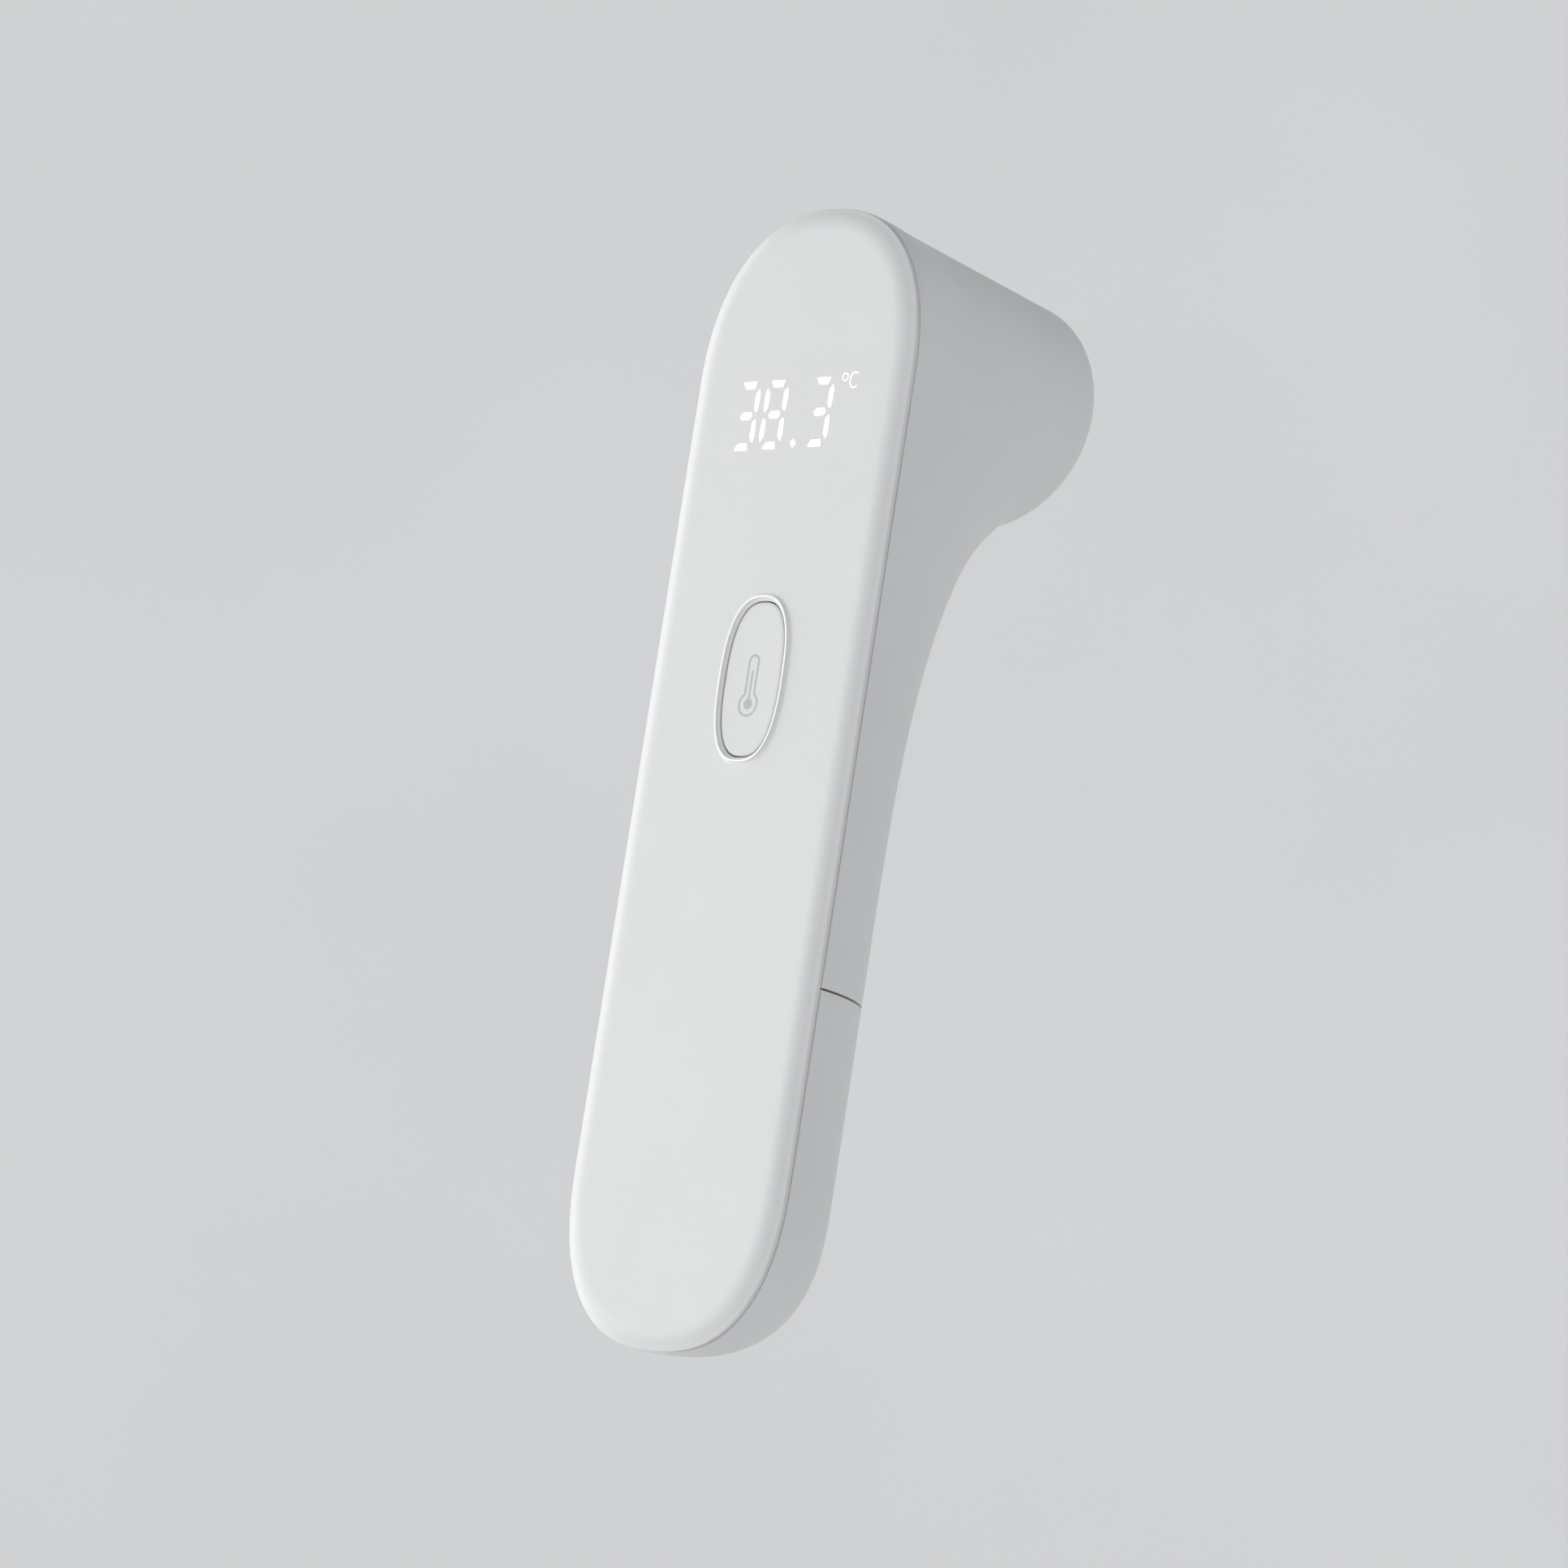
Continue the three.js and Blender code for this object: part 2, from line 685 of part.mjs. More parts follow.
// A compression spring on end, from height z0 with radius r0 to height z1 with radius r1.
function spring(x, z0, z1, turns, r0, r1) {
  const points = [];
  const steps = turns * 10;
  const wire = 0.25;
  for (let i = 0; i <= steps; i += 1) {
    const t = i / steps;
    const a = t * turns * CIRCLE;
    const r = r0 + (r1 - r0) * t;
    const z = z0 + wire + (z1 - z0 - 2 * wire) * t;
    points.push(new THREE.Vector3(x + r * Math.cos(a), CELL_Y + r * Math.sin(a), z));
  }
  const round = [0, 1, 2, 3, 4].map((k) => [(k / 5) * CIRCLE, wire]);
  const wireShape = polygon(round.map(([a, r]) => [r * Math.cos(a), r * Math.sin(a)]));
  return solid(
    new THREE.ExtrudeGeometry(wireShape, {
      steps,
      bevelEnabled: false,
      extrudePath: new THREE.CatmullRomCurve3(points),
    }),
  );
}

function topContact(x) {
  const pad = block([x - 3.6, 5.2, TOP_PLATE_Z], [x + 3.6, 12.6, TOP_PLATE_Z + PLATE_THICK]);
  const tab = block([x - 1.5, 7.5, TOP_PLATE_Z], [x + 1.5, 7.9, BOARD_BOTTOM + 1.8]);
  return pad.add(tab);
}

function linkContact() {
  return block([-8, 6, LINK_Z], [8, 12.2, LINK_Z + PLATE_THICK]);
}

// A flat ribbon of the given width along a line of [y, z] points.
function ribbon(line, width, thick) {
  const curve = new THREE.SplineCurve(line.map(([y, z]) => new THREE.Vector2(y, z)));
  const steps = 14;
  const near = [];
  const far = [];
  for (let i = 0; i <= steps; i += 1) {
    const p = curve.getPoint(i / steps);
    const t = curve.getTangent(i / steps);
    near.push(new THREE.Vector2(p.x - (t.y * thick) / 2, p.y + (t.x * thick) / 2));
    far.unshift(new THREE.Vector2(p.x + (t.y * thick) / 2, p.y - (t.x * thick) / 2));
  }
  const geometry = new THREE.ExtrudeGeometry(new THREE.Shape([...near, ...far]), {
    depth: width,
    bevelEnabled: false,
  });
  const turn = new THREE.Matrix4().makeBasis(
    new THREE.Vector3(0, 1, 0),
    new THREE.Vector3(0, 0, 1),
    new THREE.Vector3(1, 0, 0),
  );
  return solid(geometry.applyMatrix4(turn).translate(-width / 2, 0, 0));
}


function motorCan() {
  return turnedX(
    [
      [0, -6],
      [2, -6],
      [2, 2],
      [0.46, 2],
      [0.46, -4.5],
      [0, -4.5],
    ],
    MOTOR_Y,
    MOTOR_Z,
  );
}

function motorWeight() {
  const sector = turnedX([[0.8, 2.5], [1.9, 2.5], [1.9, 5.5], [0.8, 5.5], [0.8, 2.5]], MOTOR_Y, MOTOR_Z);
  const half = block([2, MOTOR_Y - 3, MOTOR_Z - 3], [6, MOTOR_Y + 3, MOTOR_Z - 0.1]);
  const hub = turnedX([[0.5, 2.5], [0.9, 2.5], [0.9, 5.5], [0.5, 5.5], [0.5, 2.5]], MOTOR_Y, MOTOR_Z);
  return sector.intersect(half).add(hub);
}

function motorShaft() {
  return turnedX([[0, -4.3], [0.4, -4.3], [0.4, 5.9], [0, 5.9]], MOTOR_Y, MOTOR_Z, 12);
}

function motorBoot() {
  const body = block([-5.4, BOARD_BACK + 0.1, MOTOR_Z - 3.1], [1.4, 13.9, MOTOR_Z + 3.1]);
  return body.subtract(turnedX([[0, -9], [2.15, -9], [2.15, 9], [0, 9]], MOTOR_Y, MOTOR_Z));
}

// ---------- assembly ----------

const outer = bodySolid(0, 10, PARTING_Y);
const inner = bodySolid(WALL, 8, 0);

const WHITE = 0xe9eaea;
const SHELL = { color: WHITE, roughness: 0.38, metalness: 0 };
const PLASTIC_DARK = { color: 0x24262a, roughness: 0.35, metalness: 0 };
const STEEL = { color: 0xb9bcc0, roughness: 0.3, metalness: 1 };
const GOLD = { color: 0xc9a45c, roughness: 0.35, metalness: 1 };
const BOARD = { color: 0x1d5a3a, roughness: 0.5, metalness: 0 };
const CHIP = { color: 0x1b1c1e, roughness: 0.55, metalness: 0 };
const NICKEL = { color: 0xc4c2bb, roughness: 0.28, metalness: 1 };
const RUBBER = { color: 0x2c2c2e, roughness: 0.9, metalness: 0 };

const pieces = [
  ["front_cover", frontCover(), SHELL],
  ["rear_housing", rearHousing(outer, inner), SHELL],
  ["battery_cover", batteryCover(outer, inner), SHELL],
  ["button_ring", buttonRing(), SHELL],
  ["button_cap", buttonCap(), SHELL],
  ["nose_bezel", noseBezel(), PLASTIC_DARK],
  ["sensor_cone", sensorCone(), { color: 0xd9b36a, roughness: 0.18, metalness: 1 }],
  ["ir_window", irWindow(), { color: 0x3a3d46, roughness: 0.12, metalness: 0 }],
  ["ir_sensor_can", irSensorCan(), NICKEL],
  ["sensor_holder", sensorHolder(), PLASTIC_DARK],
  ["sensor_board", sensorBoard(), BOARD],
  ["distance_sensor", block([-1.8, 33.4, NOSE_Z - 7.4], [1.8, 37.1, NOSE_Z - 5.8]), CHIP],
  [
    "distance_window",
    block([-1.7, 37.3, NOSE_Z - 7.35], [1.7, 39.6, NOSE_Z - 5.85]),
    { color: 0x512a30, roughness: 0.1, metalness: 0 },
  ],
  [
    "sensor_flex",
    ribbon([[26.7, 125], [26.2, 117], [22, 113.6], [15, 112.5], [10.5, 111.5], [9.4, 109.6]], 6, 0.25),
    { color: 0xb5651d, roughness: 0.5, metalness: 0 },
  ],
  ["flex_connector", block([-4, BOARD_BACK + 0.05, 106.4], [4, 9.7, 109.2]), CHIP],
  ["main_board", mainBoard(), BOARD],
  ["processor_chip", block([-3.5, BOARD_BACK + 0.05, 90], [3.5, 8.4, 97]), CHIP],
  ["power_inductor", block([4.5, BOARD_BACK + 0.05, 80], [7.7, 9.2, 83.2]), CHIP],
  ["storage_capacitor", block([-8, BOARD_BACK + 0.05, 80], [-3.6, 9.4, 83]), GOLD],
  ["display_module", displayModule(), { color: 0xf4f6f6, roughness: 0.6, metalness: 0 }],
  ["display_gasket", displayGasket(), RUBBER],
  ["tact_switch_body", tactSwitch(), STEEL],
  ["tact_switch_plunger", tactPlunger(), CHIP],
  ["motor_boot", motorBoot(), RUBBER],
  ["motor_can", motorCan(), NICKEL],
  ["motor_shaft", motorShaft(), STEEL],
  ["motor_weight", motorWeight(), { color: 0x8b8a86, roughness: 0.4, metalness: 1 }],
  ["battery_cradle", batteryCradle(), { color: 0xdfe0e0, roughness: 0.5, metalness: 0 }],
  ["battery_left", cell(-CELL_X, LINK_Z + 2.6, false), { color: 0x33518a, roughness: 0.35, metalness: 0.2 }],
  ["battery_right", cell(CELL_X, LINK_Z + 0.5, true), { color: 0x33518a, roughness: 0.35, metalness: 0.2 }],
  ["contact_spring_lower", spring(-CELL_X, LINK_Z + 0.45, LINK_Z + 2.55, 3, 2.6, 1.9), NICKEL],
  ["contact_spring_upper", spring(CELL_X, TOP_PLATE_Z - 2.15, TOP_PLATE_Z - 0.05, 3, 1.9, 2.6), NICKEL],
  ["contact_link_plate", linkContact(), NICKEL],
  ["contact_plate_left", topContact(-CELL_X), NICKEL],
  ["contact_plate_right", topContact(CELL_X), NICKEL],
  ...screwSpots.map(([x, z, seat], i) => [
    (i < 4 ? "board_screw_" : "cradle_screw_") + ((i % 4) + 1),
    screw(x, z, seat, 3.6),
    STEEL,
  ]),
  ["holder_screw_1", screw(-9, NOSE_Z, 31.2, 4.6, -1), STEEL],
  ["holder_screw_2", screw(9, NOSE_Z, 31.2, 4.6, -1), STEEL],
];

const thermometer = new THREE.Group();
thermometer.name = "no_touch_thermometer";
thermometer.position.y = (RIDGE_HEIGHT - DEPTH) / 2;
for (const [name, made, look] of pieces) {
  const mesh = new THREE.Mesh(geometryOf(made), new THREE.MeshStandardMaterial(look));
  mesh.name = name;
  thermometer.add(mesh);
}

export default thermometer;
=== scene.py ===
"""Looks of a no-touch infrared thermometer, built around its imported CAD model.

Shapes are given in millimetres, and their y is the depth behind the display face.
Each mesh is then made in metres in the frame of the CAD model.
The stage, the lights and the camera are given in metres.
"""

import json
import math

import bmesh
import bpy
import numpy as np
from mathutils import Matrix, Vector


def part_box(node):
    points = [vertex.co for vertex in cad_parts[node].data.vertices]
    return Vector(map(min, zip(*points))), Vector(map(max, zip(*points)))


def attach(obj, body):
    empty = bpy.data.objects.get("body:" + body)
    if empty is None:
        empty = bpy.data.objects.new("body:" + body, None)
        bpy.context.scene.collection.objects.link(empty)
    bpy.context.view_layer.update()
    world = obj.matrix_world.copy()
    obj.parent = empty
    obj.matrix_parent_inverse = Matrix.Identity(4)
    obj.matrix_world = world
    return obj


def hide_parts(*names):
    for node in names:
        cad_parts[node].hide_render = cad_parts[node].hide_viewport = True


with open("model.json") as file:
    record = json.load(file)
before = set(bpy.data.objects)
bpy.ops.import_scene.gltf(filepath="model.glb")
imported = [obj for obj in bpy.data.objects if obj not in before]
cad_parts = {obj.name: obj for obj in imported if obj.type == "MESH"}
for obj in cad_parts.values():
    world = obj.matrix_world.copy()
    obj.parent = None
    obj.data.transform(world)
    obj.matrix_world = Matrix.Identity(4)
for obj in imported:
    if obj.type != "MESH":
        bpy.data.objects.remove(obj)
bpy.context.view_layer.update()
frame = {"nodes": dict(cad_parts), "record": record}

MM = 0.001
RIDGE_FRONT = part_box("button_ring")[0].y

# Outer body
LENGTH = 138.0
WIDTH = 34.0
DEPTH = 40.4
HANDLE_DEPTH = 19.7
TOP_END = 21.3
TOP_POWER = 2.3
BOTTOM_END = 21.4
BOTTOM_POWER = 2.46
HEEL_END = 16.4
HEEL_POWER = 2.45
NECK_START = 44.0
NECK_FULL = 92.0
NECK_DEPTH = 5.07
NECK_POWER = 3.46
FLARE_START = 95.0
FLARE_FULL = 108.0
FLARE_DEPTH = 2.87
FLARE_POWER = 2.94
SWEEP_LIMIT = 1.3
CROWN_START = 112.0
NECK_BLEND = 90.0
BLEND_DEPTH = 8.0
BLEND_TOP = 128.0
BLEND_FADE = 12.0
FAR_OUTSIDE = -900.0
NOSE_RADIUS = 13.9
NOSE_RIM = 4.0
NOSE_DROP = 1.27
NOSE_SLOPE = 1.1
NOSE_NARROW = 0.55
NOSE_ROUND = 0.6
NOSE_Z = LENGTH - NOSE_DROP - NOSE_RADIUS
NOSE_FLAT = NOSE_RADIUS - NOSE_RIM
NOSE_OPENING = 8.6
UNDER_NOSE = (104.0, 113.0)
WALL = 1.6
EDGE = 0.12
PARTING_Y = 1.5
SEAM_Z = 43.3
SEAM_GAP = 0.22
CAD_RIDGE_HEIGHT = 0.6
FACE_Y = RIDGE_FRONT / MM + CAD_RIDGE_HEIGHT

# Front panel: its back, the inset of its flat face, and the pocket behind the display
PANEL_BACK = 1.8
PANEL_INSET = 3.1
DISPLAY_Z = 112.3
POCKET_HALF_WIDTH = 10.9
POCKET_HALF_HEIGHT = 6.2
POCKET_FLOOR = 0.7

# Screw posts behind the panel, as x, z and the depth of the end
SCREW_POSTS = [
    (-10.6, 64.8, 6.1),
    (10.6, 64.8, 6.1),
    (-10.6, 100, 6.1),
    (10.6, 100, 6.1),
    (-9.6, 60, 4.8),
    (9.6, 60, 4.8),
]
POST_RADIUS = 1.6
POST_BORE = 0.75

# Thumb ribs across the battery cover
RIB_HEIGHTS = (31.5, 34.5, 37.5)
RIB_REACH = 6.0
RIB_LIFT = 0.35
RIB_HALF_WIDTH = 0.5
RIB_ROOT = 0.06

# Measure button
BUTTON_Z = 79.8
RIDGE_HALF_WIDTH = 4.95
RIDGE_HALF_HEIGHT = 9.95
RIDGE_POWER = 2.6
RIDGE_SLOPE = 0.45
BUTTON_FIT = 0.15

# Display digits: the size of one, its low edge, and the front and back of a lit bar
DIGIT_WIDTH = 3.85
DIGIT_HEIGHT = 8.66
DIGIT_Z = 107.97
BAR_SHRINK = 0.88
GLOW = (-0.018, 0.04)
GLOW_BEVEL = 0.008

# Batteries
CELL_RADIUS = 5.25
CELL_LENGTH = 44.5
CELL_X = 5.4
CELL_Y = 8.9
LINK_Z = 8.6


# ---------- materials ----------


class Nodes:
    """Short calls for building one material's node tree."""

    def __init__(self, name):
        self.material = bpy.data.materials.new(name)
        self.material.use_nodes = True
        self.tree = self.material.node_tree
        self.shader = self.tree.nodes["Principled BSDF"]
        self.place = self.add("ShaderNodeTexCoord").outputs["Object"]

    def add(self, kind, **settings):
        node = self.tree.nodes.new(kind)
        for key, value in settings.items():
            setattr(node, key, value)
        return node

    def link(self, source, target):
        self.tree.links.new(source, target)

    def noise(self, scale, detail=3.0, roughness=0.5, stretch=None):
        node = self.add("ShaderNodeTexNoise")
        node.inputs["Scale"].default_value = scale
        node.inputs["Detail"].default_value = detail
        node.inputs["Roughness"].default_value = roughness
        place = self.place
        if stretch is not None:
            mapping = self.add("ShaderNodeMapping")
            mapping.inputs["Scale"].default_value = stretch
            self.link(place, mapping.inputs["Vector"])
            place = mapping.outputs["Vector"]
        self.link(place, node.inputs["Vector"])
        return node.outputs["Fac"]

    def remap(self, value, low, high, from_low=0.3, from_high=0.7):
        node = self.add("ShaderNodeMapRange")
        node.inputs["From Min"].default_value = from_low
        node.inputs["From Max"].default_value = from_high
        node.inputs["To Min"].default_value = low
        node.inputs["To Max"].default_value = high
        self.link(value, node.inputs["Value"])
        return node.outputs["Result"]

    def mix(self, factor, first, second):
        node = self.add("ShaderNodeMix", data_type="RGBA")
        self.link(factor, node.inputs["Factor"])
        for socket, value in ((node.inputs["A"], first), (node.inputs["B"], second)):
            if isinstance(value, bpy.types.NodeSocket):
                self.link(value, socket)
            else:
                socket.default_value = (*value, 1.0)
        return node.outputs["Result"]

    def less_than(self, value, limit):
        node = self.add("ShaderNodeMath", operation="LESS_THAN")
        self.link(value, node.inputs[0])
        node.inputs[1].default_value = limit
        return node.outputs[0]

    def bump(self, heights):
        """Chains bumps; heights holds (value, strength, distance in metres)."""
        normal = None
        for value, strength, distance in heights:
            node = self.add("ShaderNodeBump")
            node.inputs["Strength"].default_value = strength
            node.inputs["Distance"].default_value = distance
            self.link(value, node.inputs["Height"])
            if normal is not None:
                self.link(normal, node.inputs["Normal"])
            normal = node.outputs["Normal"]
        self.link(normal, self.shader.inputs["Normal"])

    def set(self, **values):
        for key, value in values.items():
            self.shader.inputs[key.replace("_", " ")].default_value = value


def moulded(name, colour, dark, rough=(0.36, 0.44), grain=9000.0, strength=0.1, coat=0.0):
    """Injection-moulded plastic: fine spark-eroded grain, faint flow clouds, small wear in the gloss."""
    n = Nodes(name)
    clouds = n.noise(60.0, 4.0, 0.55)
    speck = n.noise(2600.0, 2.0, 0.6)
    tint = n.mix(n.remap(clouds, 0.0, 1.0), dark, colour)
    fine = n.mix(n.remap(speck, 0.0, 0.35, 0.45, 0.75), (0, 0, 0), (1, 1, 1))
    node = n.add("ShaderNodeMix", data_type="RGBA", blend_type="MULTIPLY")
    node.inputs["Factor"].default_value = 0.02
    n.link(tint, node.inputs["A"])
    n.link(fine, node.inputs["B"])
    n.link(node.outputs["Result"], n.shader.inputs["Base Color"])
    wear = n.noise(240.0, 5.0, 0.65)
    n.link(n.remap(wear, rough[0], rough[1]), n.shader.inputs["Roughness"])
    n.bump(
        [
            (n.noise(grain, 2.0, 0.5), strength, 0.00003),
            (n.noise(420.0, 3.0, 0.5), strength * 0.35, 0.00005),
        ]
    )
    n.set(IOR=1.5, Coat_Weight=coat, Coat_Roughness=0.18)
    return n.material


def rubber(name, colour):
    n = Nodes(name)
    tint = n.mix(n.remap(n.noise(900.0), 0.0, 1.0), tuple(0.7 * c for c in colour), colour)
    n.link(tint, n.shader.inputs["Base Color"])
    n.link(n.remap(n.noise(400.0), 0.65, 0.85), n.shader.inputs["Roughness"])
    n.bump([(n.noise(5000.0, 3.0), 0.35, 0.00006)])
    return n.material


def plated(name, colour, rough=(0.16, 0.3), brushed=None, strength=0.08):
    """Plated or turned metal: brushed along one axis, with stains in the polish."""
    n = Nodes(name)
    stains = n.noise(300.0, 5.0, 0.6)
    tint = n.mix(n.remap(stains, 0.0, 1.0), tuple(0.82 * c for c in colour), colour)
    n.link(tint, n.shader.inputs["Base Color"])
    lines = n.noise(1500.0, 3.0, 0.6, brushed or (1.0, 1.0, 1.0))
    n.link(n.remap(lines, rough[0], rough[1]), n.shader.inputs["Roughness"])
    n.bump([(lines, strength, 0.00004)])
    n.set(Metallic=1.0)
    return n.material


def circuit_board():
    n = Nodes("solder_mask")
    mask = n.mix(n.remap(n.noise(220.0, 5.0), 0.0, 1.0), (0.012, 0.085, 0.04), (0.02, 0.13, 0.062))
    bricks = n.add("ShaderNodeTexBrick")
    bricks.inputs["Scale"].default_value = 900.0
    bricks.inputs["Mortar Size"].default_value = 0.035
    bricks.inputs["Color1"].default_value = (0, 0, 0, 1)
    bricks.inputs["Color2"].default_value = (0, 0, 0, 1)
    bricks.inputs["Mortar"].default_value = (1, 1, 1, 1)
    turn = n.add("ShaderNodeMapping")
    turn.inputs["Rotation"].default_value = (math.radians(90), 0, 0)
    n.link(n.place, turn.inputs["Vector"])
    n.link(turn.outputs["Vector"], bricks.inputs["Vector"])
    tracks = n.mix(bricks.outputs["Color"], (0.0, 0.0, 0.0), (1.0, 1.0, 1.0))
    n.link(n.mix(tracks, mask, (0.05, 0.24, 0.11)), n.shader.inputs["Base Color"])
    n.link(n.remap(n.noise(500.0), 0.28, 0.42), n.shader.inputs["Roughness"])
    n.bump([(bricks.outputs["Color"], 0.4, 0.00003), (n.noise(4000.0), 0.06, 0.00003)])
    return n.material


def chip():
    n = Nodes("moulded_epoxy")
    tint = n.mix(n.remap(n.noise(2500.0, 4.0), 0.0, 1.0), (0.018, 0.019, 0.021), (0.035, 0.036, 0.04))
    n.link(tint, n.shader.inputs["Base Color"])
    n.link(n.remap(n.noise(1200.0), 0.5, 0.7), n.shader.inputs["Roughness"])
    n.bump([(n.noise(9000.0, 2.0), 0.3, 0.00003)])
    return n.material


def cell_sleeve():
    """A printed shrink sleeve: plain blue with a pale band at one end, and fine wrinkles."""
    n = Nodes("cell_sleeve")
    axis = n.add("ShaderNodeSeparateXYZ")
    n.link(n.place, axis.inputs["Vector"])
    band_top = 0.0185
    low = n.less_than(axis.outputs["Z"], band_top)
    clouds = n.remap(n.noise(120.0, 4.0), 0.0, 1.0)
    blue = n.mix(clouds, (0.018, 0.06, 0.2), (0.03, 0.09, 0.27))
    n.link(n.mix(low, blue, (0.5, 0.52, 0.54)), n.shader.inputs["Base Color"])
    n.link(n.remap(n.noise(600.0), 0.2, 0.34), n.shader.inputs["Roughness"])
    n.bump([(n.noise(700.0, 3.0, 0.5, (1.0, 1.0, 0.15)), 0.04, 0.00006)])
    n.set(Metallic=0.15, Coat_Weight=0.4, Coat_Roughness=0.12)
    return n.material


def dark_window(name, colour, rough=(0.05, 0.1)):
    n = Nodes(name)
    tint = n.mix(n.remap(n.noise(700.0), 0.0, 1.0), tuple(0.8 * c for c in colour), colour)
    n.link(tint, n.shader.inputs["Base Color"])
    n.link(n.remap(n.noise(350.0, 4.0), rough[0], rough[1]), n.shader.inputs["Roughness"])
    n.bump([(n.noise(300.0, 2.0), 0.03, 0.00005)])
    n.set(IOR=1.55, Coat_Weight=0.7, Coat_Roughness=0.05)
    return n.material


def lit_segment():
    """A segment of the display as it shines through the white face."""
    n = Nodes("lit_segment")
    glow = n.mix(n.remap(n.noise(900.0, 2.0), 0.0, 1.0), (0.97, 0.985, 1.0), (1.0, 1.0, 1.0))
    n.link(glow, n.shader.inputs["Base Color"])
    n.link(glow, n.shader.inputs["Emission Color"])
    n.link(n.remap(n.noise(600.0), 0.38, 0.46), n.shader.inputs["Roughness"])
    n.bump([(n.noise(9000.0, 2.0), 0.08, 0.00003)])
    n.set(Emission_Strength=0.4)
    return n.material


WHITE = (0.725, 0.728, 0.728)
WHITE_LOW = (0.71, 0.713, 0.714)
MATERIALS = {
    "shell_plastic": moulded("shell_plastic", WHITE, WHITE_LOW),
    "button_plastic": moulded("button_plastic", WHITE, WHITE_LOW, rough=(0.33, 0.4)),
    "bezel_plastic": moulded(
        "bezel_plastic", (0.03, 0.031, 0.034), (0.022, 0.023, 0.026), (0.18, 0.26), coat=0.35
    ),
    "holder_plastic": moulded("holder_plastic", (0.06, 0.06, 0.064), (0.045, 0.045, 0.05), (0.45, 0.55)),
    "reflector": plated("reflector", (0.83, 0.6, 0.27), (0.08, 0.16), strength=0.03),
    "window": dark_window("window", (0.02, 0.022, 0.032)),
    "red_window": dark_window("red_window", (0.09, 0.008, 0.012)),
    "nickel": plated("nickel", (0.72, 0.7, 0.66), (0.15, 0.28), (1.0, 6.0, 1.0)),
    "steel": plated("steel", (0.56, 0.57, 0.6), (0.22, 0.36), (1.0, 1.0, 5.0)),
    "tungsten": plated("tungsten", (0.36, 0.355, 0.34), (0.34, 0.5), strength=0.2),
    "circuit_board": circuit_board(),
    "chip": chip(),
    "capacitor": moulded("capacitor", (0.6, 0.38, 0.1), (0.5, 0.3, 0.07), (0.4, 0.5)),
    "flex": moulded("flex", (0.5, 0.19, 0.03), (0.42, 0.15, 0.02), (0.28, 0.36), coat=0.3),
    "display": moulded("display", (0.86, 0.88, 0.88), (0.8, 0.82, 0.83), (0.5, 0.6)),
    "gasket": rubber("gasket", (0.04, 0.04, 0.043)),
    "boot": rubber("boot", (0.05, 0.05, 0.053)),
    "cradle_plastic": moulded("cradle_plastic", (0.7, 0.71, 0.71), (0.66, 0.67, 0.675), (0.42, 0.52)),
    "cell_sleeve": cell_sleeve(),
}
SEGMENT = lit_segment()
# The ridge's plastic is painted lighter than the shell's white, to lift the shade on its slopes: painted
# light, not a different plastic.
RIDGE_PAINTED_LIGHT = moulded("ridge_plastic_painted_light", (0.85, 0.855, 0.855), (0.82, 0.825, 0.825), (0.33, 0.4))
# The crest's near-white colour is a painted highlight; only its lower roughness is real gloss.
CREST_PAINTED_HIGHLIGHT = moulded("glossy_crest_painted_highlight", (0.97, 0.975, 0.98), (0.94, 0.945, 0.95), (0.2, 0.28), strength=0.03)
ICON = moulded("icon_print", (0.51, 0.515, 0.52), (0.48, 0.485, 0.49), (0.45, 0.55))


# ---------- mesh helpers ----------


def place(points):
    """Shape points in millimetres, depth from the face, to metres in the model's frame."""
    p = np.asarray(points, float)
    return (p + np.array([0.0, FACE_Y, 0.0])) * MM


def add_object(name, data):
    obj = bpy.data.objects.new(name, data)
    bpy.context.scene.collection.objects.link(obj)
    return obj


def piece(name, points, faces, slot, body, nodes=(), sharp=35.0, material=None):
    """A visible piece on a body; it takes the place of the CAD nodes named."""
    mesh = bpy.data.meshes.new(name)
    mesh.from_pydata([tuple(p) for p in place(points)], [], [tuple(map(int, f)) for f in faces])
    made = bmesh.new()
    made.from_mesh(mesh)
    bmesh.ops.remove_doubles(made, verts=made.verts, dist=2e-6)
    bmesh.ops.dissolve_degenerate(made, edges=made.edges, dist=1e-6)
    bmesh.ops.recalc_face_normals(made, faces=made.faces)
    made.to_mesh(mesh)
    made.free()
    mesh.shade_smooth()
    mesh.set_sharp_from_angle(angle=math.radians(sharp))
    obj = add_object(name, mesh)
    mesh.materials.append(material or MATERIALS[slot])
    weighted = obj.modifiers.new("weighted", "WEIGHTED_NORMAL")
    weighted.keep_sharp = True
    weighted.weight = 50
    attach(obj, body)
    if nodes:
        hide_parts(*nodes)


def grid_faces(rows, columns, close_rows=False, close_columns=False):
    faces = []
    for i in range(rows if close_rows else rows - 1):
        for j in range(columns if close_columns else columns - 1):
            a = i * columns + j
            b = i * columns + (j + 1) % columns
            c = ((i + 1) % rows) * columns + (j + 1) % columns
            d = ((i + 1) % rows) * columns + j
            faces.append((a, b, c, d))
    return faces


def through(rings, close_rows=False):
    """The surface through closed rings of points, as points and faces."""
    return np.concatenate(rings), grid_faces(len(rings), len(rings[0]), close_rows, close_columns=True)


def around(count):
    """Angles of count points spaced evenly round a full turn."""
    return np.linspace(0, 2 * math.pi, count + 1)[:-1]


def ellipse(centre, radii, angles):
    """Points (x, z) of an ellipse at the angles."""
    return [(centre[0] + radii[0] * math.cos(a), centre[1] + radii[1] * math.sin(a)) for a in angles]


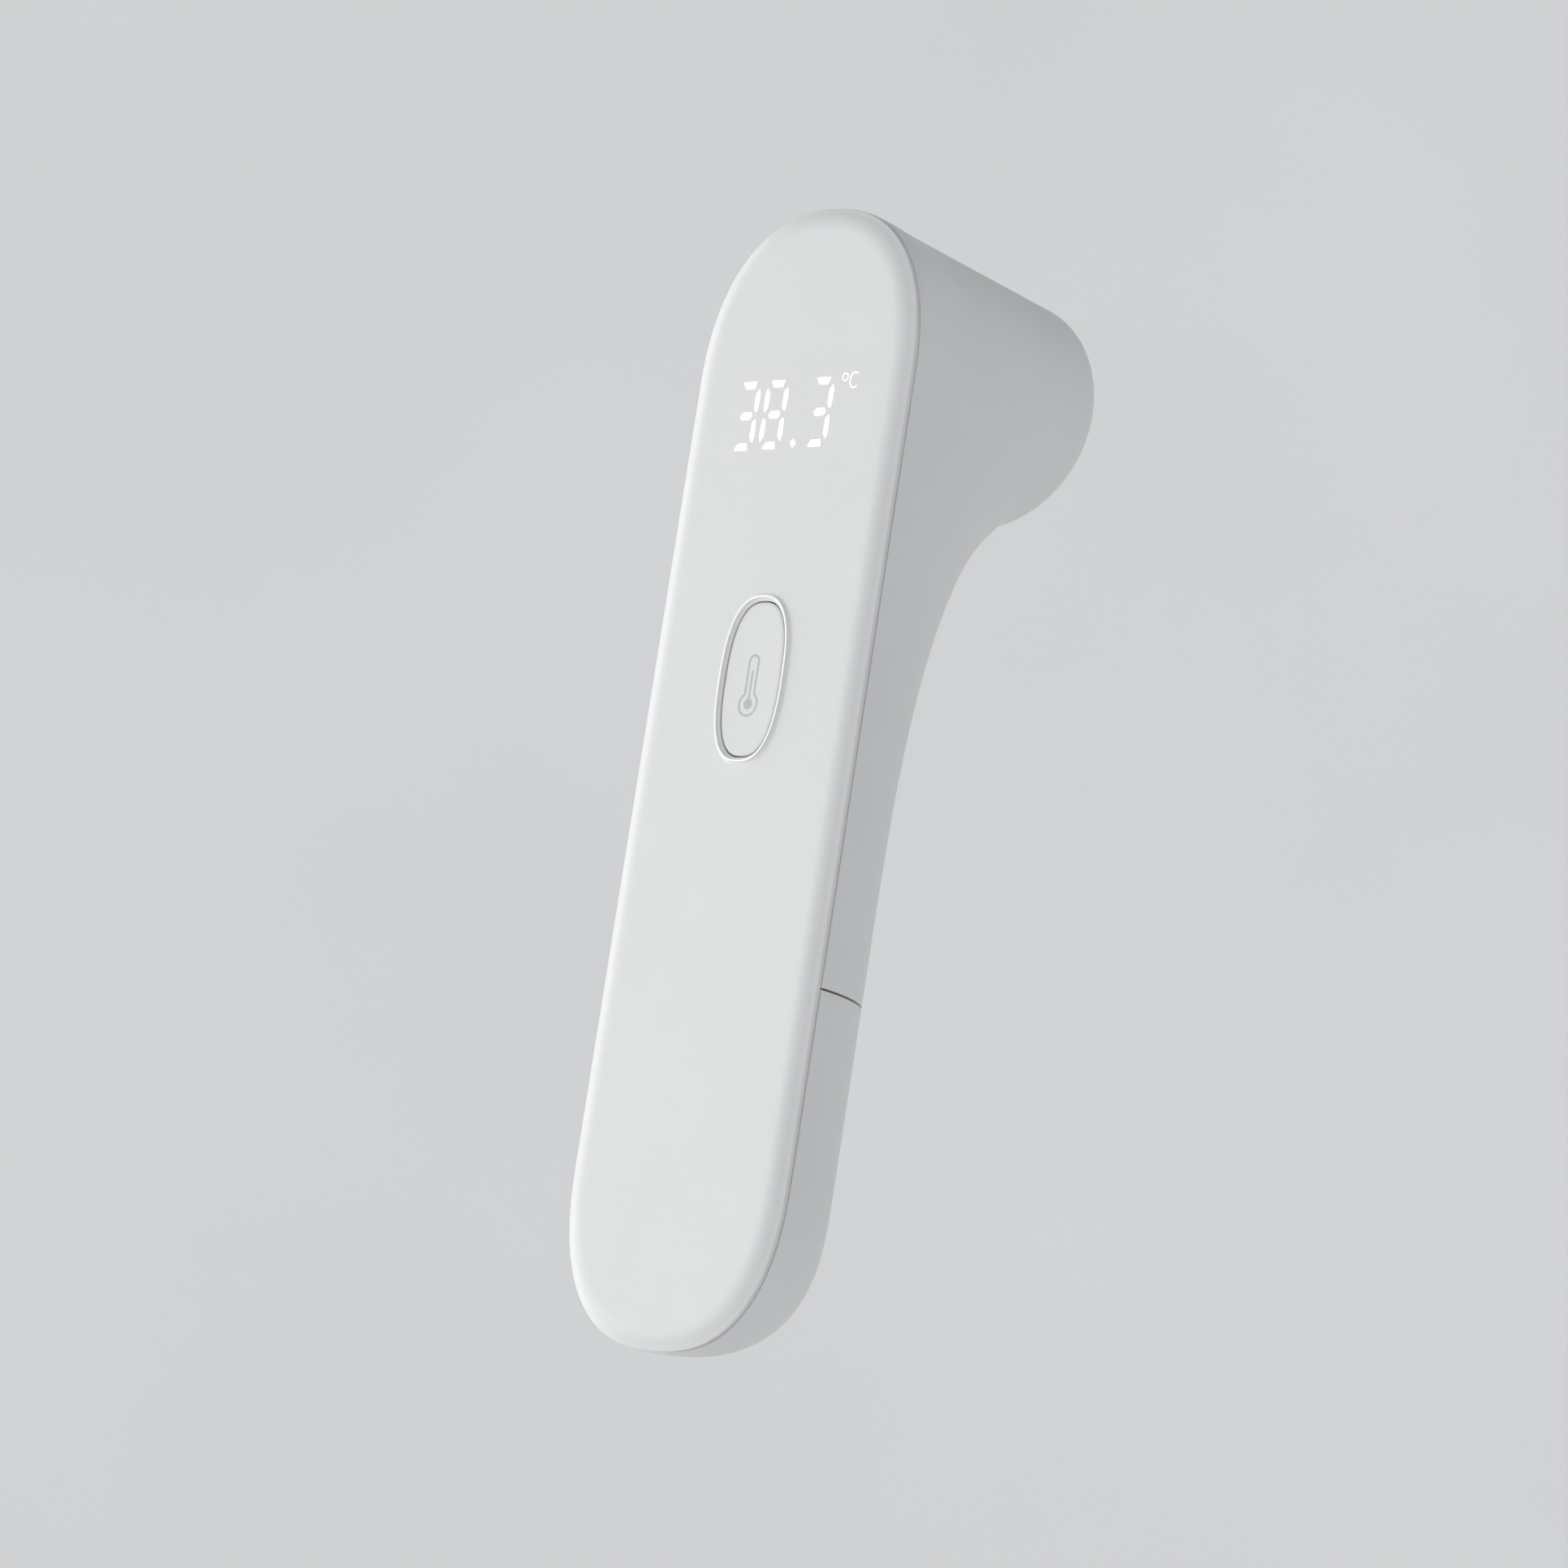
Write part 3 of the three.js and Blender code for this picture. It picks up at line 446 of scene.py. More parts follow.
def turned(profile, axis, centre, segments=96, arc=0.12):
    """Points and faces of a closed solid of revolution; profile corners are rounded by arc millimetres."""
    line = rounded(profile, arc)
    x0, y0, z0 = centre
    points = []
    for k in range(segments):
        a = 2 * math.pi * k / segments
        for r, h in line:
            u, v = r * math.cos(a), r * math.sin(a)
            offset = {"x": (h, u, v), "y": (u, h, v), "z": (u, v, h)}[axis]
            points.append((x0 + offset[0], y0 + offset[1], z0 + offset[2]))
    closed = profile[0] == profile[-1]
    return points, grid_faces(segments, len(line), close_rows=True, close_columns=closed)


def rounded(profile, arc, steps=4):
    """A polyline with its inner corners replaced by small curves."""
    closed = profile[0] == profile[-1]
    p = [np.array(q, float) for q in (profile[:-1] if closed else profile)]
    out = []
    count = len(p)
    for i, q in enumerate(p):
        if not closed and i in (0, count - 1):
            out.append(tuple(q))
            continue
        before, after = p[i - 1] - q, p[(i + 1) % count] - q
        reach = min(arc, 0.45 * np.linalg.norm(before), 0.45 * np.linalg.norm(after))
        a = q + before / np.linalg.norm(before) * reach
        b = q + after / np.linalg.norm(after) * reach
        for s in range(steps + 1):
            t = s / steps
            out.append(tuple((1 - t) ** 2 * a + 2 * t * (1 - t) * q + t * t * b))
    return out


def join(*parts):
    """Several (points, faces) as one."""
    points, faces = [], []
    for p, f in parts:
        faces += [tuple(i + len(points) for i in face) for face in f]
        points += [tuple(q) for q in p]
    return points, faces


def slab(loop, y0, y1, bevel=0.0, steps=3):
    """A flat outline in x and z, from depth y0 (front) to y1, with a rounded front edge of size bevel."""
    loop = np.asarray(loop, float)
    count = len(loop)
    ahead, behind = np.roll(loop, -1, 0), np.roll(loop, 1, 0)
    tangent = ahead - behind
    normal = np.stack([tangent[:, 1], -tangent[:, 0]], 1)
    normal /= np.linalg.norm(normal, axis=1)[:, None] + 1e-12
    area = 0.5 * np.sum(loop[:, 0] * ahead[:, 1] - ahead[:, 0] * loop[:, 1])
    if area < 0:
        normal = -normal
    rows = []
    for s in range(steps + 1 if bevel else 1):
        a = s / steps * math.pi / 2 if bevel else 0
        ring = loop - normal * bevel * (1 - math.sin(a))
        rows.append(np.column_stack([ring[:, 0], np.full(count, y0 + bevel * (1 - math.cos(a))), ring[:, 1]]))
    rows.append(np.column_stack([loop[:, 0], np.full(count, y1), loop[:, 1]]))
    points = np.concatenate(rows)
    faces = grid_faces(len(rows), count, close_columns=True)
    faces.append(tuple(range(count)))
    faces.append(tuple(range(len(points) - count, len(points))))
    return [tuple(q) for q in points], faces


# ---------- body shape ----------


def half_width(z, inset):
    def end(reach, start, power):
        t = np.clip(start / (reach - inset), 0, 1)
        return (1 - t**power) ** (1 / power)

    top = end(TOP_END, z - (LENGTH - TOP_END), TOP_POWER)
    bottom = end(BOTTOM_END, BOTTOM_END - z, BOTTOM_POWER)
    return (WIDTH / 2 - inset) * np.minimum(top, bottom)


def handle_section(y, z, inset):
    """Squared half width of the handle; behind its back the value falls below zero."""
    neck = np.clip((z - NECK_START) / (NECK_FULL - NECK_START), 0, SWEEP_LIMIT)
    flare = np.clip((z - FLARE_START) / (FLARE_FULL - FLARE_START), 0, SWEEP_LIMIT)
    heel = np.clip((HEEL_END - z) / (HEEL_END - inset), 0, 1)
    crown = np.clip((z - CROWN_START) / (LENGTH - inset - CROWN_START), 0, 1)
    swept = NECK_DEPTH * neck**NECK_POWER
    flared = FLARE_DEPTH * flare**FLARE_POWER
    depth = HANDLE_DEPTH - PARTING_Y + swept + flared - inset
    ends = np.maximum(1 - heel**HEEL_POWER, 1e-6) ** (1 / HEEL_POWER)
    reach = depth * ends * np.sqrt(np.maximum(1 - crown * crown, 1e-4))
    t = (y - PARTING_Y) / reach
    return np.maximum(half_width(z, inset) ** 2 * (1 - t * t), FAR_OUTSIDE)


def head_section(y, z, inset):
    """Squared half width of the head and nose, negative above and below them."""
    tip = DEPTH - inset
    s = np.clip((y - PARTING_Y) / (DEPTH - PARTING_Y), 0, 1)
    narrow = s**NOSE_NARROW
    rim = NOSE_RIM - inset
    m = np.clip((y - (tip - rim)) / rim, 0, 1)
    drawn = rim * (1 - np.sqrt(np.maximum(1 - m * m, 0)))
    side = WIDTH / 2 + (NOSE_RADIUS - WIDTH / 2) * narrow - inset
    rise = TOP_END + (NOSE_RADIUS - TOP_END) * narrow - inset
    middle = LENGTH - NOSE_DROP * s**NOSE_SLOPE - inset - rise
    above = z > middle
    power = np.where(above, TOP_POWER + (2 - TOP_POWER) * s**NOSE_ROUND, 2.0)
    u = np.abs(z - middle) / (np.where(above, rise, side) - drawn)
    width = side - drawn
    inside = np.maximum(1 - np.minimum(u, 1) ** power, 0)
    return np.where(u > 1, -width * width * (u * u - 1), width * width * inside ** (2 / power))


def section(y, z, inset):
    """Squared half width of the body at depth y and height z."""
    handle = handle_section(y, z, inset)
    head = head_section(y, z, inset)
    behind_face = np.clip((y - PARTING_Y) / BLEND_DEPTH, 0, 1)
    below_crown = np.clip((BLEND_TOP - z) / BLEND_FADE, 0, 1)
    blend = NECK_BLEND * behind_face * below_crown + 1e-6
    h = np.maximum(blend - np.abs(handle - head), 0) / blend
    return np.maximum(handle, head) + h * h * blend / 4


def back_depth(z, inset):
    """Depth at which the section at each height closes on the centre line."""
    z = np.asarray(z, float)
    deep = np.full(z.shape, DEPTH - inset)
    low = np.full(z.shape, PARTING_Y)
    high = deep.copy()
    for _ in range(44):
        middle = (low + high) / 2
        inside = section(middle, z, inset) > 0
        low = np.where(inside, middle, low)
        high = np.where(inside, high, middle)
    return np.where(section(deep - 1e-4, z, inset) > 0, deep, low)


def levels(low, high, step):
    """Heights spaced evenly along the back's profile, with the nose's round and the pointed ends added."""
    fine = low + (high - low) * (0.5 - 0.5 * np.cos(np.linspace(0, np.pi, 3000)))
    if high > NOSE_Z:
        fine = np.unique(np.concatenate([fine, np.linspace(*UNDER_NOSE, 1500)]))
    back = back_depth(fine, 0.0)
    length = np.concatenate([[0], np.cumsum(np.hypot(np.diff(fine), np.diff(back)))])
    even = np.interp(np.linspace(0, length[-1], int(length[-1] / step) + 2), length, fine)
    ends = 0.02 * np.linspace(0.15, 1, 6) ** 3
    extra = [even]
    if high > LENGTH - 1:
        extra.append(high - ends)
    elif low < 1:
        extra.append(low + ends)
    if high > NOSE_Z:
        extra.append(NOSE_Z + NOSE_FLAT * np.sin(np.linspace(-np.pi / 2, np.pi / 2, 49)))
    kept = []
    for z in np.unique(np.round(np.concatenate(extra), 6)):
        at_end = z > LENGTH - 0.03 or z < 0.03
        if not kept or z - kept[-1] > (0.0001 if at_end else 0.01):
            kept.append(z)
    return np.array(kept)


def body_normals(p):
    """Outward directions of the body's surface at the points p."""
    x, y, z = p[..., 0], p[..., 1], p[..., 2]
    e = 2e-4
    inner_y = np.clip(y, PARTING_Y + 2 * e, DEPTH - 2 * e)
    inner_z = np.clip(z, 0.001, LENGTH - 0.001)
    d_y = (section(inner_y + e, inner_z, 0.0) - section(inner_y - e, inner_z, 0.0)) / (2 * e)
    d_z = (section(inner_y, inner_z + e, 0.0) - section(inner_y, inner_z - e, 0.0)) / (2 * e)
    n = np.stack([2 * x, -d_y, -d_z], -1)
    return n / (np.linalg.norm(n, axis=-1, keepdims=True) + 1e-12)


def skin_grid(heights, columns, front):
    """The body's surface over the heights: rows of points from the right edge round the back to the left."""
    back = np.maximum(back_depth(heights, 0.0), front + 1e-4)
    a = np.linspace(0, np.pi / 2, columns)
    y = front + (back[:, None] - front) * np.sin(a)[None, :]
    z = np.repeat(heights[:, None], columns, 1)
    x = np.sqrt(np.maximum(section(np.minimum(y, back[:, None] - 1e-6), z, 0.0), 0))
    x[back < DEPTH - 1e-3, -1] = 0.0
    right = np.stack([x, y, z], -1)
    left = right[:, ::-1] * np.array([-1, 1, 1])
    return np.concatenate([right, left], 1)


def shell_part(low, high, step, columns):
    """A shell WALL thick between two heights; an end inside the body is open, with a rounded edge.

    Gives the grid of points, the column where the outside's left half starts, and which ends are open.
    """
    open_low, open_high = low > 1, high < LENGTH - 1
    heights = levels(low + (EDGE if open_low else 0.0004), high - (EDGE if open_high else 0.0004), step)
    outer = skin_grid(heights, columns, PARTING_Y + EDGE)
    normal = body_normals(outer)
    flat = (normal[:, :1] * [1, 0, 1], normal[:, -1:] * [1, 0, 1])
    ends = []
    for n in flat:
        ends.append(n / (np.linalg.norm(n, axis=-1, keepdims=True) + 1e-12))
    inner = outer - WALL * normal
    inner[..., 1] = np.maximum(inner[..., 1], PARTING_Y + EDGE)
    inner[..., 0] = np.where(outer[..., 0] >= 0, np.maximum(inner[..., 0], 0), np.minimum(inner[..., 0], 0))
    drops = ((EDGE * 0.3, 0.7), (EDGE, 1.0))
    columns_right, columns_left = [], []
    for inset, share in drops:
        step_y = np.array([0, -EDGE * share, 0])
        columns_right.insert(0, outer[:, :1] + step_y - inset * ends[0])
        columns_left.append(outer[:, -1:] + step_y - inset * ends[1])
    floor_y = np.array([0, -EDGE, 0])
    rim_right = outer[:, :1] + floor_y - WALL * ends[0]
    rim_left = outer[:, -1:] + floor_y - WALL * ends[1]
    rim_right[..., 0] = np.maximum(rim_right[..., 0], 0)
    rim_left[..., 0] = np.minimum(rim_left[..., 0], 0)
    ring = np.concatenate([*columns_right, outer, *columns_left, rim_left, inner[:, ::-1], rim_right], 1)
    half = len(columns_right) + columns
    rows = [ring]
    centre = np.array([0, PARTING_Y, 0])
    for is_open, index, way in ((open_low, 0, -1), (open_high, -1, 1)):
        edge = ring[index : index + 1] if index == 0 else ring[index:]
        if is_open:
            middle = ring.shape[1] // 2
            outside, inside = edge[:, :middle], edge[:, middle:][:, ::-1]
            for inset, share in drops:
                t = inset / WALL
                a = outside * (1 - t) + inside * t
                b = inside * (1 - t) + outside * t
                row = np.concatenate([a, b[:, ::-1]], 1) + np.array([0, 0, way * EDGE * share])
                rows = [row, *rows] if way < 0 else [*rows, row]
        else:
            tip = np.repeat((centre + [0, 0, 0.0 if way < 0 else LENGTH])[None, None], ring.shape[1], 1)
            rows = [tip, *rows] if way < 0 else [*rows, tip]
    grid = np.concatenate(rows)
    return grid, half, (open_low, open_high)


def on_nose_end(y, z):
    """Whether a point of the middle line lies on the flat end of the nose."""
    return abs(z - NOSE_Z) < NOSE_FLAT + 1e-4 and y > DEPTH - 0.01


def shell_faces(grid, half, ends, has_nose):
    """Faces of a shell grid, its open ends capped between the skins, with the round nose end left open."""
    rows, count = grid.shape[:2]
    faces = []
    middles = (half - 1, count - half)
    for i in range(rows - 1):
        z = (grid[i, half - 1, 2] + grid[i + 1, half - 1, 2]) / 2
        left_open = has_nose and on_nose_end(grid[i, half - 1, 1], z)
        for j in range(count):
            if left_open and j in middles:
                continue
            k = (j + 1) % count
            faces.append((i * count + j, i * count + k, (i + 1) * count + k, (i + 1) * count + j))
    for is_open, i in ((ends[0], 0), (ends[1], rows - 1)):
        if is_open:
            for j in range(count // 2 - 1):
                a, b = i * count + j, i * count + j + 1
                c, d = i * count + count - 2 - j, i * count + (count - 1 - j) % count
                faces.append((a, b, c, d))
    return faces


def outline_loop(inset, count=320):
    """The face outline drawn in by inset, as rows of (x, z), closer together round its two ends."""
    half = WIDTH / 2 - inset

    def arc(reach, power, centre, sign):
        a = np.linspace(0, np.pi / 2, 600)
        x = half * np.cos(a) ** (2 / power)
        return np.stack([x, centre + sign * (reach - inset) * np.sin(a) ** (2 / power)], 1)

    bottom = arc(BOTTOM_END, BOTTOM_POWER, BOTTOM_END, -1)[::-1]
    right = np.concatenate([bottom, arc(TOP_END, TOP_POWER, LENGTH - TOP_END, 1)])
    length = np.concatenate([[0], np.cumsum(np.linalg.norm(np.diff(right, axis=0), axis=1))])
    middle = (right[1:, 1] + right[:-1, 1]) / 2
    weight = np.where((middle > BOTTOM_END + 2) & (middle < LENGTH - TOP_END - 2), 0.3, 1.0)
    measure = np.concatenate([[0], np.cumsum(np.diff(length) * weight)])
    even = np.linspace(0, measure[-1], count // 2 + 1)
    x, z = np.interp(even, measure, right[:, 0]), np.interp(even, measure, right[:, 1])
    x[0] = x[-1] = 0.0
    return np.concatenate([np.stack([x, z], 1), np.stack([-x, z], 1)[-2:0:-1]])


def oval(grow, count=160):
    """The crest line of the button's ridge, grown outwards, as rows of (x, z)."""
    a = np.linspace(0, 2 * np.pi, 2000)
    c, s = np.cos(a), np.sin(a)
    x = (RIDGE_HALF_WIDTH + grow) * np.sign(c) * np.abs(c) ** (2 / RIDGE_POWER)
    z = BUTTON_Z + (RIDGE_HALF_HEIGHT + grow) * np.sign(s) * np.abs(s) ** (2 / RIDGE_POWER)
    length = np.concatenate([[0], np.cumsum(np.hypot(np.diff(x), np.diff(z)))])
    even = np.linspace(0, length[-1], count + 1)[:-1]
    return np.stack([np.interp(even, length, x), np.interp(even, length, z)], 1)


def at_depth(loop, y):
    return np.column_stack([loop[:, 0], np.full(len(loop), y), loop[:, 1]])


def filled(loops, y):
    """Triangles between closed loops of (x, z) at depth y, as points and faces."""
    made = bmesh.new()
    edges = []
    for loop in loops:
        verts = [made.verts.new((x, y, z)) for x, z in loop]
        edges += [made.edges.new((verts[i], verts[(i + 1) % len(verts)])) for i in range(len(verts))]
    bmesh.ops.triangle_fill(made, use_beauty=True, use_dissolve=False, edges=edges)
    made.verts.index_update()
    points = [tuple(v.co) for v in made.verts]
    faces = [tuple(v.index for v in f.verts) for f in made.faces]
    made.free()
    return points, faces


# ---------- outer pieces ----------


def rear_housing():
    grid, half, ends = shell_part(SEAM_Z + SEAM_GAP / 2, LENGTH, step=0.55, columns=44)
    faces = shell_faces(grid, half, ends, True)
    count = grid.shape[1]
    middle = grid[:, half - 1]
    rows = [i for i, point in enumerate(middle) if on_nose_end(point[1], point[2])]
    inner = count - half
    outer_loop = [i * count + half - 1 for i in rows] + [i * count + half for i in rows[::-1]]
    inner_loop = [i * count + inner + 1 for i in rows] + [i * count + inner for i in rows[::-1]]
    points = grid.reshape(-1, 3)
    start = points[outer_loop]
    angle = np.arctan2(start[:, 2] - NOSE_Z, start[:, 0])
    angle[0] = -math.pi / 2
    angle[-1] = -math.pi / 2
    rings = [
        (NOSE_OPENING + 0.18, DEPTH),
        (NOSE_OPENING + 0.07, DEPTH - 0.04),
        (NOSE_OPENING, DEPTH - 0.18),
        (NOSE_OPENING, DEPTH - WALL),
    ]
    size = len(angle)
    chain = [outer_loop]
    for r, y in rings:
        base = len(points)
        ring = np.column_stack([r * np.cos(angle), np.full(size, y), NOSE_Z + r * np.sin(angle)])
        points = np.concatenate([points, ring])
        chain.append(range(base, base + size))
    chain.append(inner_loop)
    for a, b in zip(chain[:-1], chain[1:]):
        for k in range(size):
            m = (k + 1) % size
            faces.append((a[k], a[m], b[m], b[k]))
    skirt = inner_lip(low=41.0, high=47.0, outside=1.95, inside=2.9, front=3.9)
    parts = join((points, faces), skirt)
    piece("housing_shell", *parts, "shell_plastic", "housing", ["rear_housing"], 40)


def inner_lip(low, high, outside, inside, front):
    """A thin wall between two insets inside the body, which the battery cover slides over."""
    heights = np.linspace(low, high, 9)
    skin = skin_grid(heights, 30, PARTING_Y)
    skin = np.delete(skin, 30, 1)
    normal = body_normals(skin)
    outer, inner = skin - outside * normal, skin - inside * normal
    outer[..., 1] = np.maximum(outer[..., 1], front)
    inner[..., 1] = np.maximum(inner[..., 1], front)
    ring = np.concatenate([outer, inner[:, ::-1]], 1)
    rows, count = ring.shape[:2]
    faces = grid_faces(rows, count, close_columns=True)
    half = count // 2
    for first in (0, (rows - 1) * count):
        last = first + count - 1
        for j in range(half - 1):
            faces.append((first + j, first + j + 1, last - 1 - j, last - j))
    return ring.reshape(-1, 3), faces


def thumb_rib(height):
    """A low rib across the back of the battery cover, fading out at both ends."""
    along, over = 41, 13
    reach = HANDLE_DEPTH - PARTING_Y
    points = []
    for i in range(along):
        t = -1 + 2 * i / (along - 1)
        x = RIB_REACH * t
        lift = RIB_LIFT * max(1 - abs(t) ** 6, 0.0) ** 0.5
        size = RIB_HALF_WIDTH * max(1 - abs(t) ** 14, 0.02)
        y = PARTING_Y + reach * math.sqrt(1 - (x / (WIDTH / 2)) ** 2)
        for j in range(over):
            a = math.pi * j / (over - 1)
            rise = (lift + RIB_ROOT) * math.sin(a) ** 0.8
            points.append((x, y - RIB_ROOT + rise, height - size * math.cos(a)))
    faces = grid_faces(along, over, close_columns=True)
    faces += [tuple(range(over)), tuple(range((along - 1) * over, along * over))]
    return points, faces


def battery_cover():
    grid, half, ends = shell_part(0.0, SEAM_Z - SEAM_GAP / 2, step=0.6, columns=44)
    parts = [(grid.reshape(-1, 3), shell_faces(grid, half, ends, False))]
    parts += [thumb_rib(height) for height in RIB_HEIGHTS]
    piece("battery_cover_shell", *join(*parts), "shell_plastic", "battery_door", ["battery_cover"], 40)


def panel_edge():
    """The panel's edge from the flat face round to its back, as (inset, depth), with a seam groove."""
    line = [(PANEL_INSET - 2.45 * t, 0.6 * t**2.5) for t in np.linspace(0, 1, 15)]
    line += [(0.42, 0.7), (0.22, 0.79), (0.13, 0.84), (0.1, 0.88), (0.12, 0.92), (0.18, 0.94), (0.2, 0.97)]
    line += [(0.2, 1.45), (0.5, 1.46), (0.52, 1.6), (0.6, 1.7), (2.1, 1.72), (2.1, 3.5), (2.2, 3.6)]
    line += [(3.0, 3.6), (3.1, 3.5), (PANEL_INSET, PANEL_BACK)]
    return line


def front_panel():
    skin = through([at_depth(outline_loop(inset), y) for inset, y in panel_edge()])
    flat = outline_loop(PANEL_INSET)
    hole = oval(RIDGE_SLOPE - 0.05)
    corners = np.array([(-1, -1), (1, -1), (1, 1), (-1, 1)])
    pocket = corners * [POCKET_HALF_WIDTH, POCKET_HALF_HEIGHT] + [0, DISPLAY_Z]
    face = filled([flat, hole], 0.0)
    back = filled([flat, hole, pocket], PANEL_BACK)
    hole_wall = through([at_depth(hole, 0.0), at_depth(hole, PANEL_BACK)])
    pocket_wall = through([at_depth(pocket, PANEL_BACK), at_depth(pocket, POCKET_FLOOR)])
    pocket_floor = (at_depth(pocket, POCKET_FLOOR), [(0, 1, 2, 3)])
    posts = []
    bore, radius, root = POST_BORE, POST_RADIUS, PANEL_BACK - 0.1
    for x, z, end in SCREW_POSTS:
        profile = [(bore, root), (radius, root), (radius, end), (bore, end), (bore, root)]
        posts.append(turned(profile, "y", (x, 0, z), 32, 0.1))
    parts = join(skin, face, back, hole_wall, pocket_wall, pocket_floor, *posts)
    piece("front_panel", *parts, "shell_plastic", "housing", ["front_cover"], 40)


def button_ridge():
    profile = [
        (0.47, 0.03), (0.44, -0.005), (0.34, -0.05), (0.24, -0.13), (0.16, -0.24),
        (0.1, -0.36), (0.05, -0.4), (-0.05, -0.4), (-0.1, -0.36), (-0.16, -0.24),
        (-0.24, -0.13), (-0.34, -0.05), (-0.43, 0.0), (-0.45, 0.04), (-0.45, 2.5),
        (1.5, 2.5), (1.5, 2.0), (0.38, 1.95), (0.38, 0.05),
    ]
    ridge = through([at_depth(oval(grow), y) for grow, y in profile], close_rows=True)
    # The ridge wears the lighter plastic, whose extra brightness is painted light over its shaded slopes.
    piece("button_ridge", *ridge, "button_plastic", "housing", ["button_ring"], 50, RIDGE_PAINTED_LIGHT)
    # A thin near-white strip laid along the ridge's crest: a painted highlight line.
    crest = stroke(oval(0.02), 0.24, -0.41, -0.35, closed=True)
    piece("ridge_crest_painted_highlight", *crest, "button_plastic", "housing", (), 50, CREST_PAINTED_HIGHLIGHT)


def button_cap():
    edge = -RIDGE_SLOPE - BUTTON_FIT
    top, under = edge - 0.5, edge - 0.9
    profile = [
        (top, 0.0), (edge - 0.18, 0.01), (edge - 0.06, 0.06), (edge, 0.18), (edge, 2.7),
        (0.25, 2.75), (0.3, 2.85), (0.3, 3.25), (under, 3.3), (under, 1.1),
    ]
    body = through([at_depth(oval(grow), y) for grow, y in profile])
    covers = (filled([oval(top)], 0.0), filled([oval(under)], 1.1))
    post = turned([(0, 1.0), (1.3, 1.0), (1.3, 3.65), (0, 3.65)], "y", (0, 0, BUTTON_Z), 40, 0.1)
    parts = join(body, *covers, post)
    piece("button_cap_shell", *parts, "button_plastic", "button", ["button_cap"], 40)


def stroke(path, width, y0, y1, closed=False):
    """A flat line of the given width along (x, z) points."""
    p = np.asarray(path, float)
    if closed:
        tangent = np.roll(p, -1, 0) - np.roll(p, 1, 0)
    else:
        tangent = np.gradient(p, axis=0)
    tangent /= np.linalg.norm(tangent, axis=1)[:, None]
    side = np.stack([-tangent[:, 1], tangent[:, 0]], 1) * width / 2
    rings = [at_depth(p + side, y0), at_depth(p + side, y1), at_depth(p - side, y1), at_depth(p - side, y0)]
    grid = np.stack(rings, 1)
    points = grid.reshape(-1, 3)
    faces = grid_faces(len(p), 4, close_rows=closed, close_columns=True)
    if not closed:
        faces += [(0, 1, 2, 3), tuple(range(len(points) - 4, len(points)))]
    return points, faces


def button_icon():
    """A plain thermometer sign: an outlined stem and bulb, a thin column and a filled bulb."""
    middle, stem, top = -0.1, 0.72, 82.66
    bulb_z, bulb, filling = 76.75, 1.4, 0.66
    column_top, width, front = 80.8, 0.27, -0.012
    start = math.pi / 2 - math.asin(stem / bulb)
    outline = ellipse((middle, top - stem), (stem, stem), np.linspace(0, math.pi, 25))
    stem_heights = np.linspace(top - stem - 0.4, bulb_z + bulb + 0.35, 8)
    outline += [(middle - stem, z) for z in stem_heights]
    outline += ellipse((middle, bulb_z), (bulb, bulb), np.linspace(math.pi - start, 2 * math.pi + start, 65))
    outline += [(middle + stem, z) for z in stem_heights[::-1]]
    column = [(middle, z) for z in np.linspace(column_top, bulb_z, 12)]
    disc = ellipse((middle, bulb_z), (filling, filling), around(40))
    parts = join(
        stroke(outline, width, front, 0.03, closed=True),
        stroke(column, width, front, 0.03),
        slab(disc, front - 0.001, 0.03, 0.004, 2),
    )
    piece("button_icon", *parts, "button_plastic", "button", (), 40, ICON)


def across(loop):
    """A bar's outline mirrored left to right in its digit."""
    return [(DIGIT_WIDTH - x, z) for x, z in loop]


def below(loop):
    """A bar's outline mirrored top to bottom in its digit."""
    return [(x, DIGIT_HEIGHT - z) for x, z in loop]


# Outlines of the lit bars as (x, z) from the digit's lower left corner
TOP_BAR = [(0.7, 8.46), (0.83, 8.66), (3.15, 8.66), (2.85, 7.64), (1.25, 7.64)]
SIDE_BAR = [(0.3, 7.95), (0.88, 7.15), (0.84, 5.07), (0.4, 4.5), (0.14, 4.82), (0.0, 7.0)]
MIDDLE_BAR = [(0.87, 4.33), (1.33, 4.88), (2.8, 4.88), (3.1, 4.33), (2.65, 3.78), (1.2, 3.78)]
BARS = {
    "top": TOP_BAR,
    "middle": MIDDLE_BAR,
    "bottom": below(TOP_BAR),
    "upper_left": SIDE_BAR,
    "lower_left": below(SIDE_BAR),
    "upper_right": across(SIDE_BAR),
    "lower_right": across(below(SIDE_BAR)),
}
THREE = ("top", "middle", "bottom", "upper_right", "lower_right")
# Left edge and lit bars of each digit
DIGITS = {
    "digit_tens": (-9.65, THREE),
    "digit_units": (-5.15, tuple(BARS)),
    "digit_tenths": (2.1, THREE),
}


def soft_corners(points, arc=0.14):
    closed = [tuple(p) for p in points]
    return np.array(rounded([*closed, closed[0]], arc, 3))


def display():
    for name, (left, bars) in DIGITS.items():
        parts = []
        for bar in bars:
            loop = soft_corners(BARS[bar])
            loop = loop.mean(0) + BAR_SHRINK * (loop - loop.mean(0)) + [left, DIGIT_Z]
            parts.append(slab(loop, *GLOW, GLOW_BEVEL, 2))
        piece(name, *join(*parts), "display", "housing", (), 40, SEGMENT)
    dot = soft_corners([(0.0, 0.62), (0.52, 0.0), (0.08, -0.6), (-0.5, 0.02)], 0.2) + [0.53, 108.6]
    piece("decimal_point", *slab(dot, *GLOW, GLOW_BEVEL, 2), "display", "housing", (), 40, SEGMENT)
    ring = ellipse((7.34, 116.43), (0.42, 0.46), around(32))
    letter = ellipse((8.86, 116.0), (0.7, 0.94), np.linspace(math.radians(50), math.radians(310), 33))
    parts = join(stroke(ring, 0.13, *GLOW, closed=True), stroke(letter, 0.17, *GLOW))
    piece("degree_mark", *parts, "display", "housing", (), 40, SEGMENT)


# ---------- nose ----------


